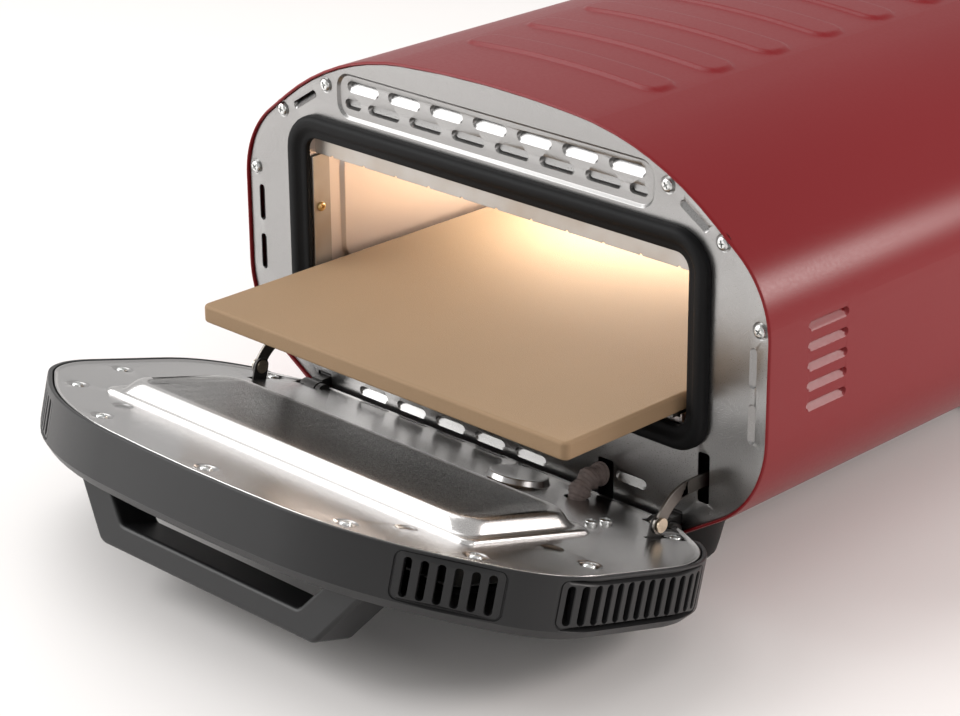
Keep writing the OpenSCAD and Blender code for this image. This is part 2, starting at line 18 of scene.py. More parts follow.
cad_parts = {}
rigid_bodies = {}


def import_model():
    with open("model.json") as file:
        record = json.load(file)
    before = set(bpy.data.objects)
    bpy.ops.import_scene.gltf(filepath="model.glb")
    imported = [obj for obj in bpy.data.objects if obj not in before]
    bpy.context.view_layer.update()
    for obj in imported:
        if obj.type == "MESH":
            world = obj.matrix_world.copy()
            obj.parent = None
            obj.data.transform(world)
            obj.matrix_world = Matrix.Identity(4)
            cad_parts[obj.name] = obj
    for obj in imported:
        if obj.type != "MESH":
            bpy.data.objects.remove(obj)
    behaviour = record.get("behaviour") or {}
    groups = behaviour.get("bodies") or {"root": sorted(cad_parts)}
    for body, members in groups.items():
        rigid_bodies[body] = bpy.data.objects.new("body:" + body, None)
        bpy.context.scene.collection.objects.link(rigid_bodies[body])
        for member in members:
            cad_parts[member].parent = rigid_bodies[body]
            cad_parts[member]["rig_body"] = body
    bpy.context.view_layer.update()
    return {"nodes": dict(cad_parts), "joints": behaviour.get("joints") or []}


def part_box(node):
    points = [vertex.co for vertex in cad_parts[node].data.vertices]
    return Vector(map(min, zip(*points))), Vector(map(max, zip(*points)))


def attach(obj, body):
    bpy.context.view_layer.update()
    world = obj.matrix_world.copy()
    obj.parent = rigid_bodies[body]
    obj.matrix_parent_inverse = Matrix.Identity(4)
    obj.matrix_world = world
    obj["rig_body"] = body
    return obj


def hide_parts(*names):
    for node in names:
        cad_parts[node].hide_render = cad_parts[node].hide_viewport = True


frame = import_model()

nodes = frame["nodes"]

# %% [markdown]
# ## The camera
# A product shot is taken from the right, a little above the oven, with a long lens, so
# that upright edges stay nearly parallel. The camera's own axes are worked out from its
# azimuth, elevation and a slight roll, which is easier to read than a quaternion.

# %% Camera
azimuth, elevation, roll = (math.radians(a) for a in (44.768, 22.35, -0.519))
across = Vector((math.cos(azimuth), math.sin(azimuth), 0))
back = Vector((
    math.sin(azimuth) * math.cos(elevation),
    -math.cos(azimuth) * math.cos(elevation),
    math.sin(elevation),
))
upward = back.cross(across)
right = across * math.cos(roll) + upward * math.sin(roll)
upward = upward * math.cos(roll) - across * math.sin(roll)
camera = bpy.data.objects.new("camera", bpy.data.cameras.new("camera"))
bpy.context.scene.collection.objects.link(camera)
camera.matrix_world = Matrix.Translation((1.1597, -1.2667, 0.7871)) @ Matrix(
    (right, upward, back)).transposed().to_4x4()
camera.data.lens = 105.9
camera.data.sensor_width = 36
camera.data.dof.use_dof = False
bpy.context.scene.camera = camera
print("camera stands", round(camera.location.length, 2), "m from the origin")

# %% [markdown]
# ## Soft studio light and a pale table
# Satin steel and gloss paint show only what they mirror. So the lights are large and
# soft, and the world is a pale grey that fills the rest of the reflections. A small warm
# lamp stands in for the glow of the heaters at the back of the cavity.

# %% Lights, world and floor
def area_light(name, place, target, size, power, colour=(1, 1, 1)):
    lamp = bpy.data.lights.new(name, "AREA")
    lamp.shape = "RECTANGLE"
    lamp.size, lamp.size_y = size
    lamp.energy = power
    lamp.color = colour
    holder = bpy.data.objects.new(name, lamp)
    holder.location = place
    holder.rotation_euler = (Vector(target) - Vector(place)).to_track_quat("-Z", "Y").to_euler()
    bpy.context.scene.collection.objects.link(holder)
    return holder


area_light("key_softbox", (-1.35, -1.30, 1.05), (0, -0.05, 0.15), (1.5, 1.5), 34)
area_light("top_softbox", (-1.0, 0.1, 1.75), (0, 0, 0.1), (1.5, 1.3), 12.5)
area_light("shoulder_softbox", (1.35, 1.15, 0.80), (0.2, 0.0, 0.2), (0.55, 0.5), 16, (1, 0.93, 0.90))
area_light("right_fill", (1.9, -0.2, 1.0), (0.1, 0.1, 0.15), (0.9, 0.9), 5, (1, 0.95, 0.93))

world = bpy.data.worlds.new("studio")
bpy.context.scene.world = world
world.use_nodes = True
world.node_tree.nodes["Background"].inputs["Color"].default_value = (1, 0.99, 0.98, 1)
world.node_tree.nodes["Background"].inputs["Strength"].default_value = 0.62
bpy.context.scene.view_settings.view_transform = "Standard"

# %% [markdown]
# ## One frame for every piece
# The drawing sizes are in millimetres, as on a workshop drawing, with the front panel's
# face at y = 0 and the counter at z = 0. The door is drawn shut, because its parts line
# up with the panel there, and then one matrix turns it open about the hinge. Both the
# shift and the hinge are read from the CAD frame, so nothing is fitted by eye.

# %% Places of the body and the door
MM = 0.001
panel_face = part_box("front_panel")[0].y / MM
hinge_joint = next(j for j in frame["joints"] if j["name"] == "door_hinge")
hinge = Vector((0, hinge_joint["pos_m"][1] / MM - panel_face, hinge_joint["pos_m"][2] / MM))
open_angle = math.radians(hinge_joint["range_deg"][1])
on_body = Matrix.Translation((0, panel_face, 0))
on_door = (
    on_body @ Matrix.Translation(hinge) @ Matrix.Rotation(open_angle, 4, "X")
    @ Matrix.Translation(-hinge)
)
print("panel face at", round(panel_face, 2), "mm, door open by", hinge_joint["range_deg"][1])

# %% [markdown]
# ## The dome outline
# Body, panel and door share one outline: a flat crown arc, a shoulder arc, a straight
# slope, a tight side arc, an upright side and a lower arc that tucks in to the underside.
# One function walks along that outline, so a louvre or a slot can be given as a distance
# from the crown, and a sheet can be bent onto it.

# %% Walk along the dome
half_w, crown_top, base_z = 225.0, 287.0, 38.0
crown_r, shoulder_r, side_r, lower_r = 882.0, 201.6, 63.0, 70.5
crown_a, slope_a, tuck_a = 5.0, 38.0, 148.0


def facing(angle):
    """The unit normal of the outline, for an angle from straight up, in x and z."""
    return Vector((math.sin(math.radians(angle)), math.cos(math.radians(angle))))


crown_c = Vector((0, crown_top - crown_r))
shoulder_c = crown_c + (crown_r - shoulder_r) * facing(crown_a)
side_x = half_w - side_r
slope_drop = (shoulder_r - side_r - (side_x - shoulder_c.x) * facing(slope_a).x) / facing(slope_a).y
side_c = Vector((side_x, shoulder_c.y + slope_drop))
lower_c = Vector((half_w - lower_r, 118.4))


def dome_arcs(rise):
    lift = Vector((0, rise))
    return [
        (crown_c + lift, crown_r, 0, crown_a),
        (shoulder_c + lift, shoulder_r, crown_a, slope_a),
        (side_c + lift, side_r, slope_a, 90),
        (lower_c, lower_r, 90, tuck_a),
    ]


def dome_corner(d):
    """Where the tucked side meets the flat underside, for an outline grown by d."""
    tuck = lower_c + (lower_r + d) * facing(tuck_a)
    slope = facing(tuck_a)
    return Vector((tuck.x + slope.y * (tuck.y - base_z + d) / slope.x, base_z - d))


def dome_path(d, rise):
    """The right half as (distance at d = 0, length, point function) stretches."""
    arcs = dome_arcs(rise)
    stretches = []
    for i, (centre, radius, start, end) in enumerate(arcs):
        stretches.append((
            radius * math.radians(end - start),
            lambda t, c=centre, r=radius, a=start, b=end: c + (r + d) * facing(a + (b - a) * t),
        ))
        tail = centre + (radius + d) * facing(end)
        if i + 1 < len(arcs):
            head = arcs[i + 1][0] + (arcs[i + 1][1] + d) * facing(end)
        else:
            head = dome_corner(d)
        plain_tail = centre + radius * facing(end)
        plain_head = arcs[i + 1][0] + arcs[i + 1][1] * facing(end) if i + 1 < len(arcs) else dome_corner(0)
        stretches.append((
            (plain_head - plain_tail).length,
            lambda t, p=tail, q=head: p.lerp(q, t),
        ))
    corner = dome_corner(d)
    stretches.append((dome_corner(0).x, lambda t: corner.lerp(Vector((0, corner.y)), t)))
    return stretches


def dome_point(s, d=0.0, rise=0.0):
    """x and z at distance s from the crown (left is negative), grown outwards by d."""
    sign, left = (1, s) if s >= 0 else (-1, -s)
    stretches = dome_path(d, rise)
    for i, (length, point) in enumerate(stretches):
        if left <= length + 1e-6 or i == len(stretches) - 1:
            found = point(left / length if length > 1e-9 else 0)
            return Vector((sign * found.x, found.y))
        left -= length
    raise ValueError("past the end of the dome")


def dome_marks(rise=0.0, stop=None, step=4.0):
    """Distances from the crown at which the outline needs a point."""
    marks, total = [0.0], 0.0
    for i, (length, _) in enumerate(dome_path(0, rise)):
        is_arc = i % 2 == 0 and i < 8
        angle = dome_arcs(rise)[i // 2] if is_arc else None
        parts = max(1, round((angle[3] - angle[2]) / step * (2 if i == 0 else 1))) if is_arc else 1
        marks += [total + length * (k + 1) / parts for k in range(parts) if length > 1e-6]
        total += length
    return [m for m in marks if stop is None or m < stop]


dome_length = sum(length for length, _ in dome_path(0, 0))
print("half outline", round(dome_length, 1), "mm with", len(dome_marks()), "points")

# %% [markdown]
# ## Rings, joins and sheets
# Nearly every pressed part here is made in the same way: closed rings of edges, skins
# bridged between two rings, and flat sheets filled between an outer ring and the holes
# in it. Those are Blender's bridge_loops and triangle_fill operators. They keep a hole's
# edge exact, which a subdivision surface would round off.

# %% Ring helpers
Ring = namedtuple("Ring", "verts edges")


def ring(bm, points):
    verts = [bm.verts.new(p) for p in points]
    pairs = zip(verts, verts[1:] + verts[:1])
    return Ring(verts, [bm.edges.new(pair) for pair in pairs])


def join(bm, *rings):
    faces = []
    for a, b in zip(rings, rings[1:]):
        faces += bmesh.ops.bridge_loops(bm, edges=a.edges + b.edges)["faces"]
    return faces


def sheet(bm, rings, normal):
    """Fills the flat region inside the first ring and outside the others.

    triangle_fill can lose a region where corners line up with its own axes, so the
    rings are turned about the normal first, and the triangles are counted.
    """
    edges = [e for r in rings for e in (r.edges if isinstance(r, Ring) else r)]
    verts = list({v for e in edges for v in e.verts})
    wanted = len(verts) + 2 * (len(rings) - 1) - 2
    for angle in (60, 41, 77, 23, 0):
        turn = Matrix.Rotation(math.radians(angle), 3, Vector(normal))
        bmesh.ops.rotate(bm, verts=verts, cent=(0, 0, 0), matrix=turn)
        made = bmesh.ops.triangle_fill(
            bm, use_beauty=True, use_dissolve=False, edges=edges, normal=normal)
        bmesh.ops.rotate(bm, verts=verts, cent=(0, 0, 0), matrix=turn.inverted())
        faces = [g for g in made["geom"] if isinstance(g, bmesh.types.BMFace)]
        if len(faces) >= wanted:
            return faces
        if angle:
            bmesh.ops.delete(bm, geom=faces, context="FACES_ONLY")
            inner = [g for g in made["geom"] if isinstance(g, bmesh.types.BMEdge) and g.is_valid
                     and g not in set(edges)]
            bmesh.ops.delete(bm, geom=inner, context="EDGES")
    print("short sheet:", len(faces), "of", wanted)
    return faces


def lid(bm, rim):
    return bmesh.ops.contextual_create(bm, geom=rim.edges)["faces"]


def circle_points(radius, steps, start=0.0, sweep=360.0):
    full = abs(sweep) >= 360
    angles = [math.radians(start + sweep * i / steps) for i in range(steps + (not full))]
    return [Vector((radius * math.cos(a), radius * math.sin(a))) for a in angles]


def pill_points(length, height, steps=8):
    r = height / 2
    reach = Vector((length / 2 - r, 0))
    near = [p + reach for p in circle_points(r, steps, -90, 180)]
    return near + [p - reach for p in circle_points(r, steps, 90, 180)]


def box_points(x0, z0, x1, z1, r, steps=6):
    """A rectangle with round corners, counter-clockwise."""
    points = []
    for cx, cz, start in (
        (x1 - r, z0 + r, -90), (x1 - r, z1 - r, 0), (x0 + r, z1 - r, 90), (x0 + r, z0 + r, 180),
    ):
        points += [p + Vector((cx, cz)) for p in circle_points(r, steps, start, 90)]
    return points


def rounded_points(corners, steps=5):
    """A closed outline of (point, radius) corners, each rounded by an arc."""
    points = []
    count = len(corners)
    for i, (corner, r) in enumerate(corners):
        here = Vector(corner)
        before = (Vector(corners[i - 1][0]) - here).normalized()
        after = (Vector(corners[(i + 1) % count][0]) - here).normalized()
        if r == 0:
            points.append(here)
            continue
        half = math.acos(max(-1, min(1, before.dot(after)))) / 2
        centre = here + (before + after).normalized() * (r / math.sin(half))
        first = here + before * (r / math.tan(half)) - centre
        last = here + after * (r / math.tan(half)) - centre
        turn = first.angle_signed(last)
        for k in range(steps + 1):
            a = -turn * k / steps
            points.append(centre + Vector((
                first.x * math.cos(a) - first.y * math.sin(a),
                first.x * math.sin(a) + first.y * math.cos(a),
            )))
    return points


def at_y(points, y):
    return [Vector((p.x, y, p.y)) for p in points]


def box_ring(bm, x0, z0, x1, z1, r, y, steps=6):
    """A rounded box across Y. Its sides may be given in either order."""
    (x0, x1), (z0, z1) = sorted((x0, x1)), sorted((z0, z1))
    return ring(bm, at_y(box_points(x0, z0, x1, z1, r, steps), y))


def dome_ring(bm, y, d=0.0, rise=0.0, marks=None):
    marks = marks or dome_marks(rise)
    half = [dome_point(m, d, rise) for m in marks]
    left = [Vector((-p.x, p.y)) for p in half[-2:0:-1]]
    return ring(bm, at_y(half + left, y))


# %% [markdown]
# ## From a drawing to a finished piece
# A piece is drawn in millimetres, merged at its seams, given outward normals, put in its
# place, and handed to the body it rides on. Thin sheets get their thickness from a
# Solidify modifier, and machined or cast pieces get small rounded edges from a Bevel
# modifier, so that every edge catches a line of light, as real edges do.

# %% Make a piece
made_pieces = []


def piece(name, bm, place, body, finish, stands_for=(), sharp=35, merge=0.02,
          thickness=0.0, towards=None, bevel=0.0, bevel_steps=2, flat_faces=True):
    bmesh.ops.remove_doubles(bm, verts=bm.verts, dist=merge)
    bmesh.ops.dissolve_degenerate(bm, edges=bm.edges, dist=0.001)
    loose = [e for e in bm.edges if not e.link_faces]
    bmesh.ops.delete(bm, geom=loose, context="EDGES")
    bmesh.ops.recalc_face_normals(bm, faces=bm.faces)
    if towards:
        lean = sum((f.normal * f.calc_area() for f in bm.faces), Vector()).dot(Vector(towards))
        if lean < 0:
            bmesh.ops.reverse_faces(bm, faces=bm.faces)
    bmesh.ops.transform(bm, matrix=Matrix.Scale(MM, 4) @ place, verts=bm.verts)
    mesh = bpy.data.meshes.new(name)
    bm.to_mesh(mesh)
    bm.free()
    mesh.materials.append(finish)
    mesh.shade_smooth()
    mesh.set_sharp_from_angle(angle=math.radians(sharp))
    made = bpy.data.objects.new(name, mesh)
    bpy.context.scene.collection.objects.link(made)
    if thickness:
        wall = made.modifiers.new("wall", "SOLIDIFY")
        wall.thickness = thickness * MM
        wall.offset = -1
    if bevel:
        soften(made, bevel, bevel_steps)
    if flat_faces:
        level = made.modifiers.new("level", "WEIGHTED_NORMAL")
        level.keep_sharp = True
        level.weight = 100
    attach(made, body)
    if stands_for:
        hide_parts(*stands_for)
    made_pieces.append(made)
    print(name, len(mesh.polygons), "faces")
    return made


def soften(made, width, steps=2):
    edge = made.modifiers.new("edge", "BEVEL")
    edge.width = width * MM
    edge.segments = steps
    edge.limit_method = "ANGLE"
    edge.angle_limit = math.radians(38)
    edge.harden_normals = True


def softened(node, finish, width):
    """A copy of a CAD node with merged vertices and rounded edges stands for it."""
    bm = bmesh.new()
    bm.from_mesh(nodes[node].data)
    bmesh.ops.remove_doubles(bm, verts=bm.verts, dist=0.00001)
    bmesh.ops.dissolve_limit(bm, angle_limit=math.radians(1), verts=bm.verts, edges=bm.edges)
    body = nodes[node]["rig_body"]
    bmesh.ops.transform(bm, matrix=Matrix.Scale(1 / MM, 4), verts=bm.verts)
    return piece(node + "_finished", bm, Matrix(), body, finish, [node],
                 sharp=30, merge=0.005, bevel=width)


# %% [markdown]
# ## Shared surface effects
# Three effects appear on many materials: a fine grain, soft patches of tone, and a painted
# highlight that lightens convex edges. Each is a node group that puts out a plain value, so a
# material can send it to its colour, its roughness or a bump as it needs.

# %% Node groups
def new_group(name, inputs, output):
    tree = bpy.data.node_groups.new(name, "ShaderNodeTree")
    for title, kind, value in inputs:
        socket = tree.interface.new_socket(name=title, in_out="INPUT", socket_type=kind)
        if value is not None:
            socket.default_value = value
    tree.interface.new_socket(name=output, in_out="OUTPUT", socket_type="NodeSocketFloat")
    return tree, tree.nodes.new("NodeGroupInput"), tree.nodes.new("NodeGroupOutput")


def noise_group(name, detail):
    """Noise on Object coordinates in metres, cut to a range from 0 to 1."""
    tree, given, out = new_group(name, [
        ("Vector", "NodeSocketVector", None), ("Scale", "NodeSocketFloat", 100.0)], "Value")
    noise = tree.nodes.new("ShaderNodeTexNoise")
    noise.inputs["Detail"].default_value = detail
    cut = tree.nodes.new("ShaderNodeMapRange")
    cut.inputs["From Min"].default_value = 0.3
    cut.inputs["From Max"].default_value = 0.7
    tree.links.new(given.outputs["Vector"], noise.inputs["Vector"])
    tree.links.new(given.outputs["Scale"], noise.inputs["Scale"])
    tree.links.new(noise.outputs["Fac"], cut.inputs["Value"])
    tree.links.new(cut.outputs["Result"], out.inputs["Value"])
    return tree


# Pointiness marks convex edges; this mask paints a highlight there by lightening the colour.
def edge_group():
    tree, given, out = new_group("painted_edge_highlight", [
        ("Start", "NodeSocketFloat", 0.52), ("End", "NodeSocketFloat", 0.62)], "Value")
    shape = tree.nodes.new("ShaderNodeNewGeometry")
    cut = tree.nodes.new("ShaderNodeMapRange")
    tree.links.new(shape.outputs["Pointiness"], cut.inputs["Value"])
    tree.links.new(given.outputs["Start"], cut.inputs["From Min"])
    tree.links.new(given.outputs["End"], cut.inputs["From Max"])
    tree.links.new(cut.outputs["Result"], out.inputs["Value"])
    return tree


fine_grain = noise_group("fine_grain", 4)
patches = noise_group("soft_patches", 2)
painted_edge_highlight = edge_group()
print("groups:", [g.name for g in bpy.data.node_groups])

# %% [markdown]
# ## A recipe for a finish
# A finish starts from one colour and one roughness. The groups then move them a little:
# patches shift the colour, grain shifts the roughness and feeds a bump,
# and the edge mask lightens the colour along convex edges as a painted highlight. What is the
# same all over, such as metallic or coat, is set on the shader itself.

# %% Finish builder
def finish(name, colour, roughness, metallic=0.0, tint=None, patch_size=12.0, patch_mix=0.3,
           grain_size=900.0, grain_rough=0.08, bump=0.0, bump_depth=0.0002,
           edge_highlight=None, edge_highlight_mix=0.35, speck=None, **shader_values):
    made = bpy.data.materials.new(name)
    made.use_nodes = True
    tree = made.node_tree
    shader = tree.nodes["Principled BSDF"]
    place = tree.nodes.new("ShaderNodeTexCoord")

    def use(group, **values):
        node = tree.nodes.new("ShaderNodeGroup")
        node.node_tree = group
        for title, value in values.items():
            node.inputs[title].default_value = value
        if "Vector" in node.inputs:
            tree.links.new(place.outputs["Object"], node.inputs["Vector"])
        return node.outputs["Value"]

    def between(factor, first, second, share=1.0):
        scaled = tree.nodes.new("ShaderNodeMath")
        scaled.operation = "MULTIPLY"
        scaled.inputs[1].default_value = share
        tree.links.new(factor, scaled.inputs[0])
        mix = tree.nodes.new("ShaderNodeMix")
        mix.data_type = "RGBA"
        tree.links.new(scaled.outputs[0], mix.inputs["Factor"])
        for socket, value in ((mix.inputs[6], first), (mix.inputs[7], second)):
            if isinstance(value, bpy.types.NodeSocket):
                tree.links.new(value, socket)
            else:
                socket.default_value = (*value, 1)
        return mix.outputs[2]

    grain_value = use(fine_grain, Scale=grain_size)
    tone = between(use(patches, Scale=patch_size), colour, tint or [c * 0.9 for c in colour], patch_mix)
    if speck:
        tone = between(grain_value, tone, speck[0], speck[1])
    # Painted highlight: the colour turns lighter along convex edges, where they would catch the light.
    if edge_highlight:
        tone = between(use(painted_edge_highlight), tone, edge_highlight, edge_highlight_mix)
    tree.links.new(tone, shader.inputs["Base Color"])
    rough = tree.nodes.new("ShaderNodeMapRange")
    rough.inputs["To Min"].default_value = max(0.0, roughness - grain_rough / 2)
    rough.inputs["To Max"].default_value = roughness + grain_rough / 2
    tree.links.new(grain_value, rough.inputs["Value"])
    tree.links.new(rough.outputs["Result"], shader.inputs["Roughness"])
    if bump:
        relief = tree.nodes.new("ShaderNodeBump")
        relief.inputs["Strength"].default_value = bump
        relief.inputs["Distance"].default_value = bump_depth
        tree.links.new(grain_value, relief.inputs["Height"])
        tree.links.new(relief.outputs["Normal"], shader.inputs["Normal"])
    shader.inputs["Metallic"].default_value = metallic
    for title, value in shader_values.items():
        shader.inputs[title.replace("_", " ").title().replace("Ior", "IOR")].default_value = value
    return made


# %% [markdown]
# ## The finishes of this oven
# Powder-coated red, satin stainless on the panel and door, a brighter
# pressed ridge, heat-tinted liner sheet, moulded black plastic with a fine spark texture,
# silicone rubber, and fired cordierite for the stone.

# %% Metals
# The lighter edge colours given to several finishes here are painted highlights along convex edges.
red_paint = finish("red_paint", (0.185, 0.0035, 0.0065), 0.34, tint=(0.160, 0.003, 0.0055),
                   patch_size=5, grain_size=420, grain_rough=0.05, bump=0.04,
                   specular_ior_level=0.30)
panel_steel = finish("panel_steel", (0.31, 0.305, 0.30), 0.30, 1.0, tint=(0.28, 0.275, 0.27),
                     grain_size=1600, grain_rough=0.08, bump=0.03, edge_highlight=(0.6, 0.6, 0.6))
plate_steel = finish("plate_steel", (0.47, 0.46, 0.455), 0.24, 1.0, tint=(0.42, 0.41, 0.40),
                     grain_size=1800, grain_rough=0.06, bump=0.02, edge_highlight=(0.7, 0.7, 0.7))
ridge_steel = finish("ridge_steel", (0.60, 0.585, 0.575), 0.27, 1.0, tint=(0.55, 0.54, 0.53),
                     grain_size=2600, grain_rough=0.10, bump=0.06, edge_highlight=(0.8, 0.8, 0.8))
zinc_sheet = finish("zinc_sheet", (0.50, 0.51, 0.53), 0.42, 1.0, tint=(0.42, 0.43, 0.45),
                    patch_size=60, patch_mix=0.7, grain_size=700, bump=0.05)
liner_steel = finish("liner_steel", (0.74, 0.68, 0.66), 0.36, 1.0, tint=(0.70, 0.62, 0.57),
                     patch_size=9, patch_mix=0.6, grain_size=900, bump=0.04)
shield_steel = finish("shield_steel", (0.45, 0.43, 0.41), 0.38, 1.0, tint=(0.36, 0.30, 0.24),
                      patch_size=30, patch_mix=0.8, grain_size=1200, bump=0.06)
dark_steel = finish("dark_steel", (0.16, 0.145, 0.13), 0.36, 1.0, tint=(0.11, 0.10, 0.09),
                    patch_size=50, patch_mix=0.6, grain_size=1500, bump=0.08,
                    edge_highlight=(0.45, 0.43, 0.40), edge_highlight_mix=0.6)
black_steel = finish("black_steel", (0.035, 0.033, 0.032), 0.40, 0.6, patch_size=40,
                     grain_size=1500, bump=0.08, edge_highlight=(0.20, 0.19, 0.18))
screw_zinc = finish("screw_zinc", (0.62, 0.63, 0.62), 0.25, 1.0, patch_size=300,
                    grain_size=3000, bump=0.04, edge_highlight=(0.85, 0.85, 0.85))
brass_yellow = finish("brass_yellow", (0.72, 0.50, 0.22), 0.28, 1.0, patch_size=300,
                      grain_size=3000, bump=0.04)
rivet_steel = finish("rivet_steel", (0.60, 0.50, 0.38), 0.30, 1.0, patch_size=300,
                     grain_size=2500, bump=0.05)
heater_metal = finish("heater_metal", (0.10, 0.09, 0.08), 0.55, 0.8, tint=(0.16, 0.12, 0.09),
                      patch_size=60, patch_mix=0.8, grain_size=1500, bump=0.1)
probe_copper = finish("probe_copper", (0.62, 0.32, 0.18), 0.32, 1.0, tint=(0.40, 0.20, 0.12),
                      patch_size=80, patch_mix=0.7, grain_size=1500, bump=0.05)
print(len(bpy.data.materials), "materials so far")

# %% Plastics, rubber, stone, glass and fibre
# The lighter edge colours of the black moulding and the stone are painted highlights along convex edges.
rim_plastic = finish("rim_plastic", (0.014, 0.014, 0.0145), 0.40, tint=(0.011, 0.011, 0.012),
                     patch_size=20, grain_size=2600, grain_rough=0.12, bump=0.10,
                     edge_highlight=(0.05, 0.05, 0.05), edge_highlight_mix=0.25, specular_ior_level=0.35)
foot_plastic = finish("foot_plastic", (0.010, 0.010, 0.010), 0.5, grain_size=1800, bump=0.15,
                      specular_ior_level=0.3)
gasket_rubber = finish("gasket_rubber", (0.004, 0.004, 0.0045), 0.6, tint=(0.006, 0.006, 0.006),
                       patch_size=60, grain_size=1500, grain_rough=0.12, bump=0.06,
                       specular_ior_level=0.18)
pad_rubber = finish("pad_rubber", (0.05, 0.05, 0.05), 0.7, grain_size=1500, bump=0.15)
baked_stone = finish("baked_stone", (0.300, 0.195, 0.108), 0.80, tint=(0.265, 0.171, 0.093),
                     patch_size=10, patch_mix=0.5, grain_size=1300, grain_rough=0.12,
                     bump=0.30, bump_depth=0.0003, speck=((0.27, 0.17, 0.092), 0.25),
                     edge_highlight=(0.42, 0.28, 0.16), edge_highlight_mix=0.3)
white_fibre = finish("white_fibre", (0.78, 0.76, 0.70), 0.95, tint=(0.66, 0.62, 0.54),
                     patch_size=40, patch_mix=0.8, grain_size=500, bump=0.7, bump_depth=0.001)
white_ceramic = finish("white_ceramic", (0.80, 0.78, 0.72), 0.35, grain_size=900, bump=0.1)
sleeve_fibre = finish("sleeve_fibre", (0.16, 0.125, 0.115), 0.75, tint=(0.24, 0.19, 0.175),
                      patch_size=260, patch_mix=0.8, grain_size=1600, bump=0.5, bump_depth=0.0005)
lens_red = finish("lens_red", (0.60, 0.04, 0.015), 0.15, grain_size=900, grain_rough=0.02,
                  coat_weight=0.6)


def glass(name, colour, roughness):
    made = finish(name, colour, roughness, grain_size=300, grain_rough=0.02, patch_mix=0.1)
    shader = made.node_tree.nodes["Principled BSDF"]
    shader.inputs["Transmission Weight"].default_value = 1.0
    shader.inputs["IOR"].default_value = 1.5
    tree = made.node_tree
    path = tree.nodes.new("ShaderNodeLightPath")
    clear = tree.nodes.new("ShaderNodeBsdfTransparent")
    clear.inputs["Color"].default_value = (*colour, 1)
    mix = tree.nodes.new("ShaderNodeMixShader")
    tree.links.new(path.outputs["Is Shadow Ray"], mix.inputs[0])
    tree.links.new(shader.outputs["BSDF"], mix.inputs[1])
    tree.links.new(clear.outputs["BSDF"], mix.inputs[2])
    tree.links.new(mix.outputs["Shader"], tree.nodes["Material Output"].inputs["Surface"])
    return made


clear_glass = glass("clear_glass", (0.93, 0.95, 0.95), 0.0)
smoked_glass = glass("smoked_glass", (0.30, 0.30, 0.30), 0.02)
table_top = finish("table_top", (0.88, 0.855, 0.84), 0.5, grain_size=60, grain_rough=0.03,
                   patch_size=1.5, patch_mix=0.15)
print(len(bpy.data.materials), "materials")

# %% [markdown]
# ## The table
# A wide pale sheet stands under the feet. It is only a stage.

# %% Table
bm = bmesh.new()
bmesh.ops.create_grid(bm, x_segments=4, y_segments=4, size=6.0)
table_mesh = bpy.data.meshes.new("table")
bm.to_mesh(table_mesh)
bm.free()
table_mesh.materials.append(table_top)
table = bpy.data.objects.new("table", table_mesh)
bpy.context.scene.collection.objects.link(table)

# %% [markdown]
# ## Louvres and dimples
# A louvre is cut along one edge and pushed in from the other, so it is a dish that is
# deepest at the slit. We ring the hole, step inwards while the ring closes up towards the
# slit, and leave the wall along the slit open. A dimple is a round dish that takes a
# screw's head below the sheet.

# %% Pressed shapes
def louvre(bm, place, length, height, depth, lean=0.8):
    """Place turns (along, up, inward) into the piece's own frame. Returns the hole's ring."""
    flat = pill_points(length, height)
    rings = []
    for share in (0.0, 0.3, 0.65, 1.0):
        points = []
        for p in flat:
            down = (height / 2 - p.y) / height
            across_hole = p.x * (1 - 0.08 * share)
            up_hole = height / 2 - height * down * (1 - 0.2 * share)
            points.append(Vector((across_hole, up_hole, depth * share * (1 - lean * down))))
        rings.append(ring(bm, [place @ p for p in points]))
    walls = join(bm, *rings)
    slit = {r.verts[i] for r in rings for i, p in enumerate(flat) if p.y > 0.2 * height}
    open_walls = [f for f in walls if all(v in slit for v in f.verts)]
    lid(bm, rings[-1])
    bmesh.ops.delete(bm, geom=open_walls, context="FACES_ONLY")
    return rings[0]


def dimple(bm, place, radius, depth, flat_radius):
    sizes = ((radius, 0), (radius * 0.9, depth * 0.2), (flat_radius, depth))
    rings = []
    for r, drop in sizes:
        points = [place @ Vector((p.x, p.y, drop)) for p in circle_points(r, 24)]
        rings.append(ring(bm, points))
    join(bm, *rings)
    lid(bm, rings[-1])
    return rings[0]


def frame_at(origin, along, up, inward):
    turned = Matrix((Vector(along), Vector(up), Vector(inward))).transposed().to_4x4()
    return Matrix.Translation(origin) @ turned


def in_panel(x, z, y=0.0, turn=0.0):
    """A place on the front panel's face, where inward is +Y."""
    a = math.radians(turn)
    along = (math.cos(a), 0, math.sin(a))
    up = (-math.sin(a), 0, math.cos(a))
    return frame_at((x, y, z), along, up, (0, 1, 0))


# %% [markdown]
# ## The red shell
# The shell is one sheet bent over the dome. It is drawn flat, as distance round the dome
# by depth, because that is how the real blank is punched: six long pads are embossed
# across the crown and five louvres are pressed into each side. Rows and columns are close
# only where a pad's wall needs them. Then the whole blank is bent onto the dome.

# %% Punch and bend the shell
body_d = 420.0
shell_face = 2.1
pad_first, pad_pitch, pad_count = 73.0, 55.0, 6
pad_half_length, pad_half_width, pad_wall, pad_height = 82.0, 12.5, 4.0, 1.7
vent_z, vent_pitch, vent_count = 130.0, 12.7, 5
vent_y, vent_length, vent_height, vent_depth = 52.0, 38.0, 6.2, 4.4
side_mark = sum(length for length, _ in dome_path(0, 0)[:5])
patch_top, patch_low = side_mark - 9, side_mark + 56
patch_front, patch_back = 26.0, 82.0
open_underside = 120.0


def spaced(start, end, step):
    """Places from start up to, but not at, end."""
    count = max(1, round((end - start) / step))
    return [start + (end - start) * i / count for i in range(count)]


